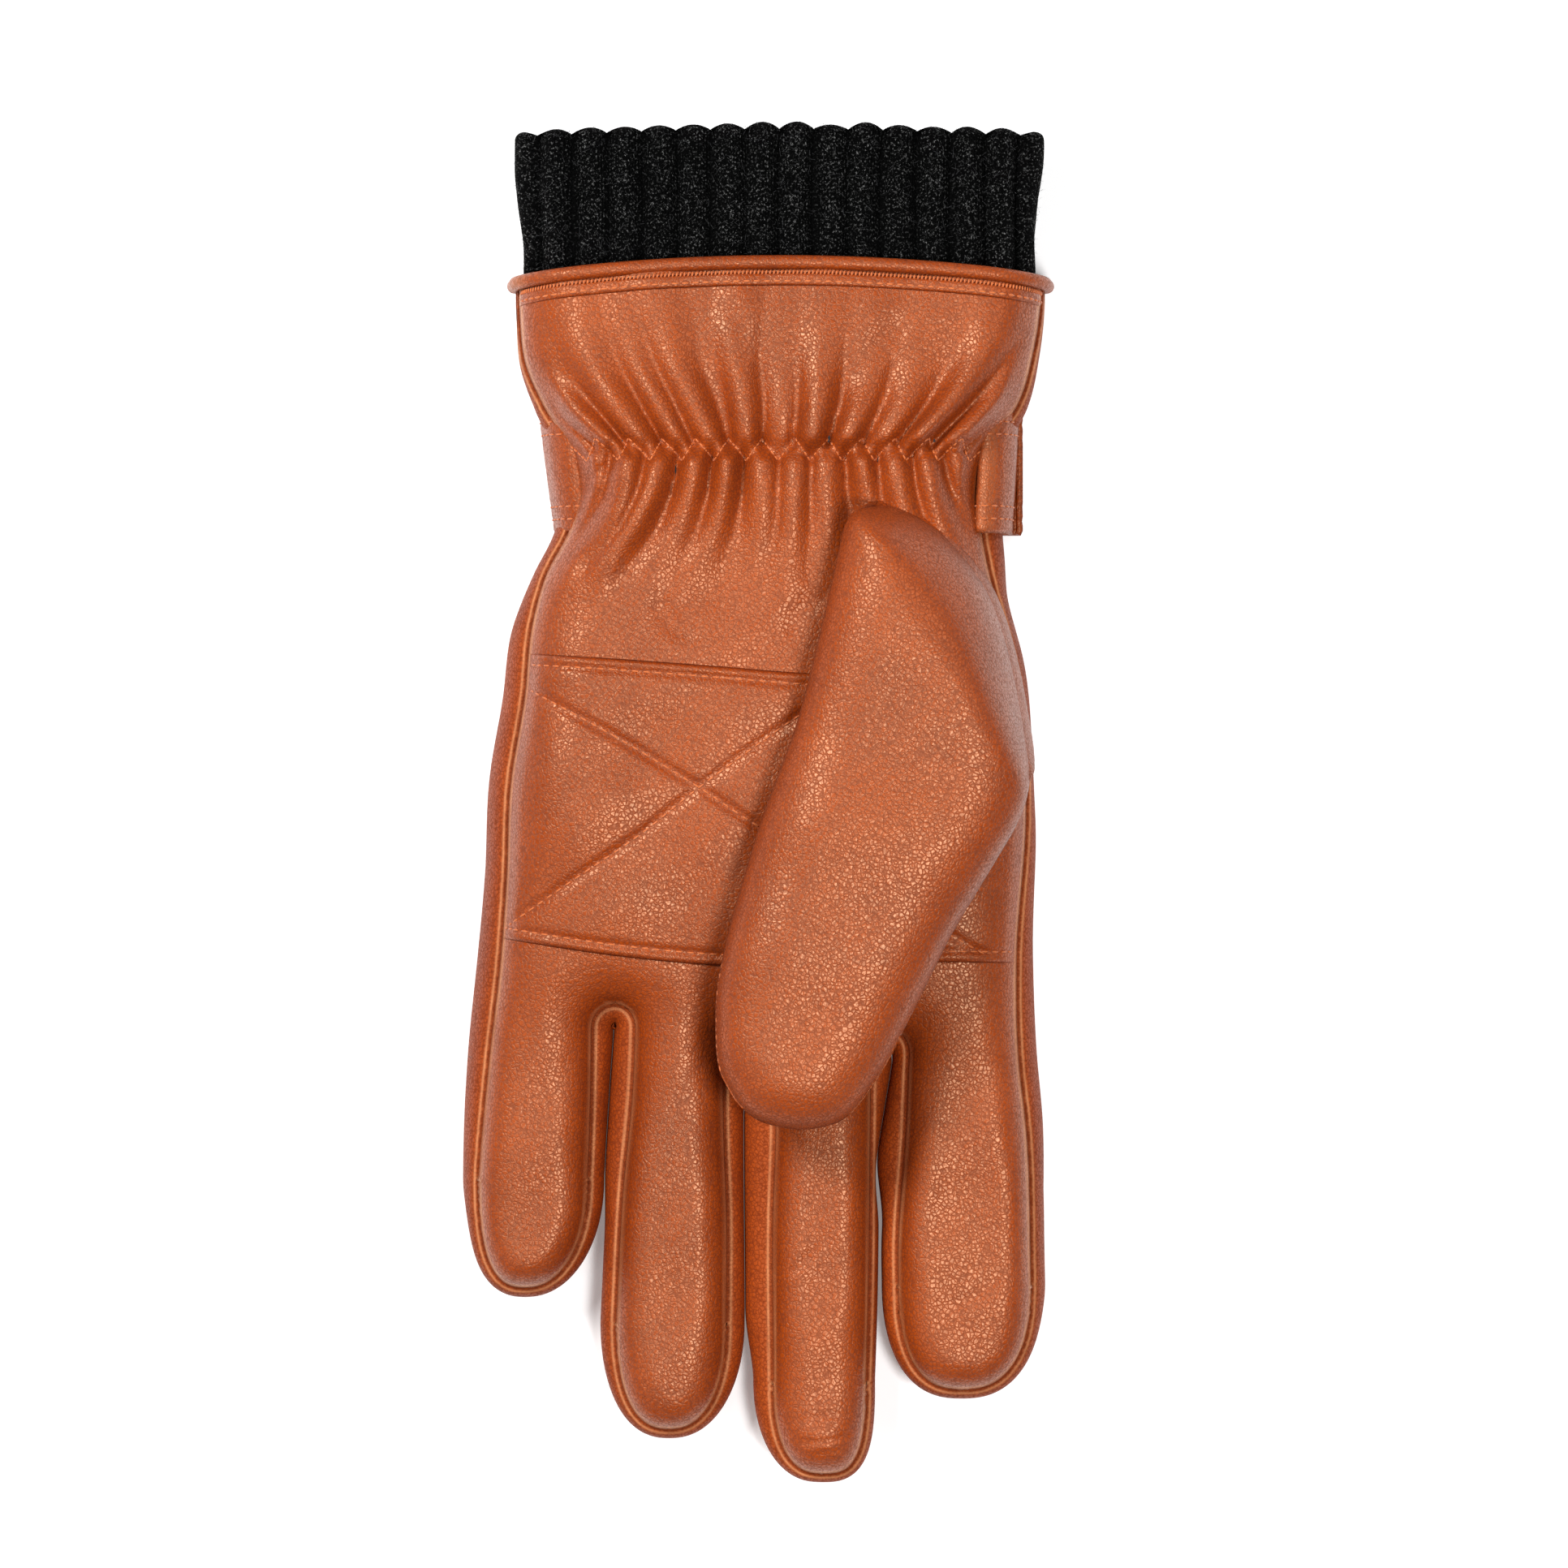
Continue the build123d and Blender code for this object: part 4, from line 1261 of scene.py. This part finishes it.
print("loose fibres")
fuzz = dict(count=2600, length=(0.8, 2.6), radius=0.026)
fuzzDice = np.random.default_rng(21)
bm = bmesh.new()
for _ in range(fuzz["count"]):
    u, v = fuzzDice.uniform(0, 1), fuzzDice.uniform(0.10, 0.60)
    at = knitPlace(np.array([u]), np.array([v]))[0]
    i = int(round(u * knitCount)) % knitCount
    out = np.array([knitOut[i][0], 0, knitOut[i][1]])
    side = fuzzDice.normal(0, 1, 3)
    way = Vector(out * fuzzDice.uniform(0.05, 0.5) + side / np.linalg.norm(side) * 0.9
                 + np.array([0, 0.3 if v > 0.5 else 0, 0]))
    length = fuzzDice.uniform(*fuzz["length"])
    turned = way.normalized().to_track_quat("Z", "Y").to_matrix().to_4x4()
    place = Matrix.Translation(Vector(at + out * 0.12) * mm) @ turned
    bmesh.ops.create_cone(bm, segments=3, radius1=fuzz["radius"] * mm, radius2=fuzz["radius"] * mm * 0.5,
                          depth=length * mm, matrix=place)
fibres = makeObject("knitFibres", bm)
fibreWool = plainFinish("grey wool", (0.12, 0.12, 0.125, 1), (0.02, 0.02, 0.022, 1), 0.9)
finishPiece(fibres, fibreWool, "knit")
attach(fibres, "hand")

# The strap: a loop at each side of the wrist, and a flap across the back
straps = dict(y=(55.6, 81.6), roll=0.9, rows=(3.0, 5.6), across=26, thick=1.2, stitch=(2.3, 1.6, 0.22, 0.0))


def strapSheet(bm, path, count, ends=None, slant=0.0, way=1.0):
    # A leather band along points in x and z, straight across in y; ends gives its narrowing along the path.
    even = along(smoothLine(path, 20), count)
    turn = np.gradient(even, axis=0)
    turn /= np.linalg.norm(turn, axis=1)[:, None]
    out = np.stack([-turn[:, 1], turn[:, 0]], 1)

    def place(u, v):
        i = np.rint(u * count).astype(int)
        middle, half = sum(straps["y"]) / 2, (straps["y"][1] - straps["y"][0]) / 2
        width = half * (ends(even[i, 0]) if ends else 1.0)
        offset = v * 2 - 1
        edge = (1 - np.abs(offset)) * half
        sunk = sum(0.16 * np.exp(-((edge - r) / 0.5) ** 2) for r in straps["rows"])
        sink = 0.45 * (1 - quarter(edge / straps["roll"])) + sunk
        xz = even[i] - out[i] * (sink * way)[:, None]
        y = middle + offset * width
        return np.column_stack([xz[:, 0] + slant * (straps["y"][1] - y), y, xz[:, 1]])
    gridSheet(bm, count, straps["across"], place)
    return even


print("straps")
sides = {
    "strapSide": ([(46.4, 18.6), (46.2, 19.9), (47.4, 20.9), (49.4, 20.3), (51.8, 18.2), (53.6, 14.4),
                   (54.3, 9.5), (54.5, 5.2), (54.9, 2.9)],
                  "strap_side", 70, -0.055),
    "strapTab": ([(-37.9, 17.2), (-37.6, 18.6), (-38.8, 19.4), (-41.0, 18.4), (-43.4, 15.6), (-44.8, 11.2),
                  (-45.2, 7.4), (-43.4, 5.0),
                  (-38, 4.7), (-20, 4.7), (-2, 4.7)], "strap_tab", 120, 0.13),
}
for pieceName, (path, node, count, slant) in sides.items():
    bm = bmesh.new()
    even = strapSheet(bm, path, count, slant=slant, way=1.0 if pieceName == "strapSide" else -1.0)
    middle = Vector((0.004, 0.0687, 0.0105))
    for f in bm.faces:
        f.normal_update()
    if sum(f.normal.dot(f.calc_center_median() - middle) for f in bm.faces) < 0:
        bmesh.ops.reverse_faces(bm, faces=list(bm.faces))
    loop = makeObject(pieceName, bm)
    markWorn(loop, [0.15 * float(ease(19.2, 20.4, v.co.z / mm)) for v in loop.data.vertices])
    finishPiece(loop, leather, "leather", node)
    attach(thicken(loop, straps["thick"]), "hand")
    bm = bmesh.new()
    low, high = straps["y"]
    for r in straps["rows"]:
        for y in (low + r, high - r):
            shown = even[even[:, 1] > 8.0]
            laid = np.column_stack([shown[:, 0] + slant * (high - y), shown[:, 0] * 0 + y, shown[:, 1]])
            stitchLine(bm, laid, *straps["stitch"])
    finishThread(bm, pieceName + "Thread", "hand")


def flapEnd(x):
    # The flap's end is rounded.
    return np.sqrt(np.clip(1 - (np.clip(-11.5 - x, 0, 12.4) / 12.5) ** 2, 0.003, 1))


bm = bmesh.new()
strapSheet(bm, [(55.3, 3.2), (54.9, 2.2), (53.6, 1.6), (48, 1.5), (20, 1.5), (0, 1.5), (-24, 1.5)], 160,
           flapEnd)
for f in bm.faces:
    f.normal_update()
if sum(f.normal.z for f in bm.faces) > 0:
    bmesh.ops.reverse_faces(bm, faces=list(bm.faces))
flap = makeObject("strapFlap", bm)
markWorn(flap, [0.0] * len(flap.data.vertices))
finishPiece(flap, leather, "leather", "strap")
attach(thicken(flap, straps["thick"]), "strap_flap")
bm = bmesh.new()
low, high = straps["y"]
for r in straps["rows"]:
    for y in (low + r, high - r):
        x = np.linspace(52, -10, 120)
        stitchLine(bm, np.column_stack([x, x * 0 + y, x * 0 + 1.62]), *straps["stitch"])
finishThread(bm, "strapThread", "strap_flap")
for node in ("snap_cap", "snap_socket", "snap_stud", "snap_rivet"):
    for slot in frame["nodes"][node].material_slots:
        slot.material = snapMetal

print("linings")
linings = dict(gap=1.7, tuck=2.0, reach=0.9)


def liningGap(x, y):
    # the lining draws further in at the seams
    return linings["gap"] + linings["tuck"] * np.exp(-distanceTo(edgeTree, x, y) / linings["reach"])


def liningFront(x, y):
    return palmHeight(x, y) - liningGap(x, y)


def liningBack(x, y):
    return backHeight(x, y) + liningGap(x, y)


bm = bmesh.new()
combSheet(bm, liningFront, 16, 2.1, (0, 0, 1), arched=False)
combSheet(bm, liningBack, 16, 2.1, (0, 0, -1), arched=False)
sock = makeObject("handLining", bm)
finishPiece(sock, liningCloth, "lining", "hand_lining")
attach(sock, "hand")
for name in names:
    bm = bmesh.new()
    tipSheet(bm, name, liningFront, 2.5, (0, 0, 1))
    tipSheet(bm, name, liningBack, 2.5, (0, 0, -1))
    sock = makeObject(name + "Lining", bm)
    finishPiece(sock, liningCloth, "lining", name + "_tip_lining")
    bendWith(sock, name)
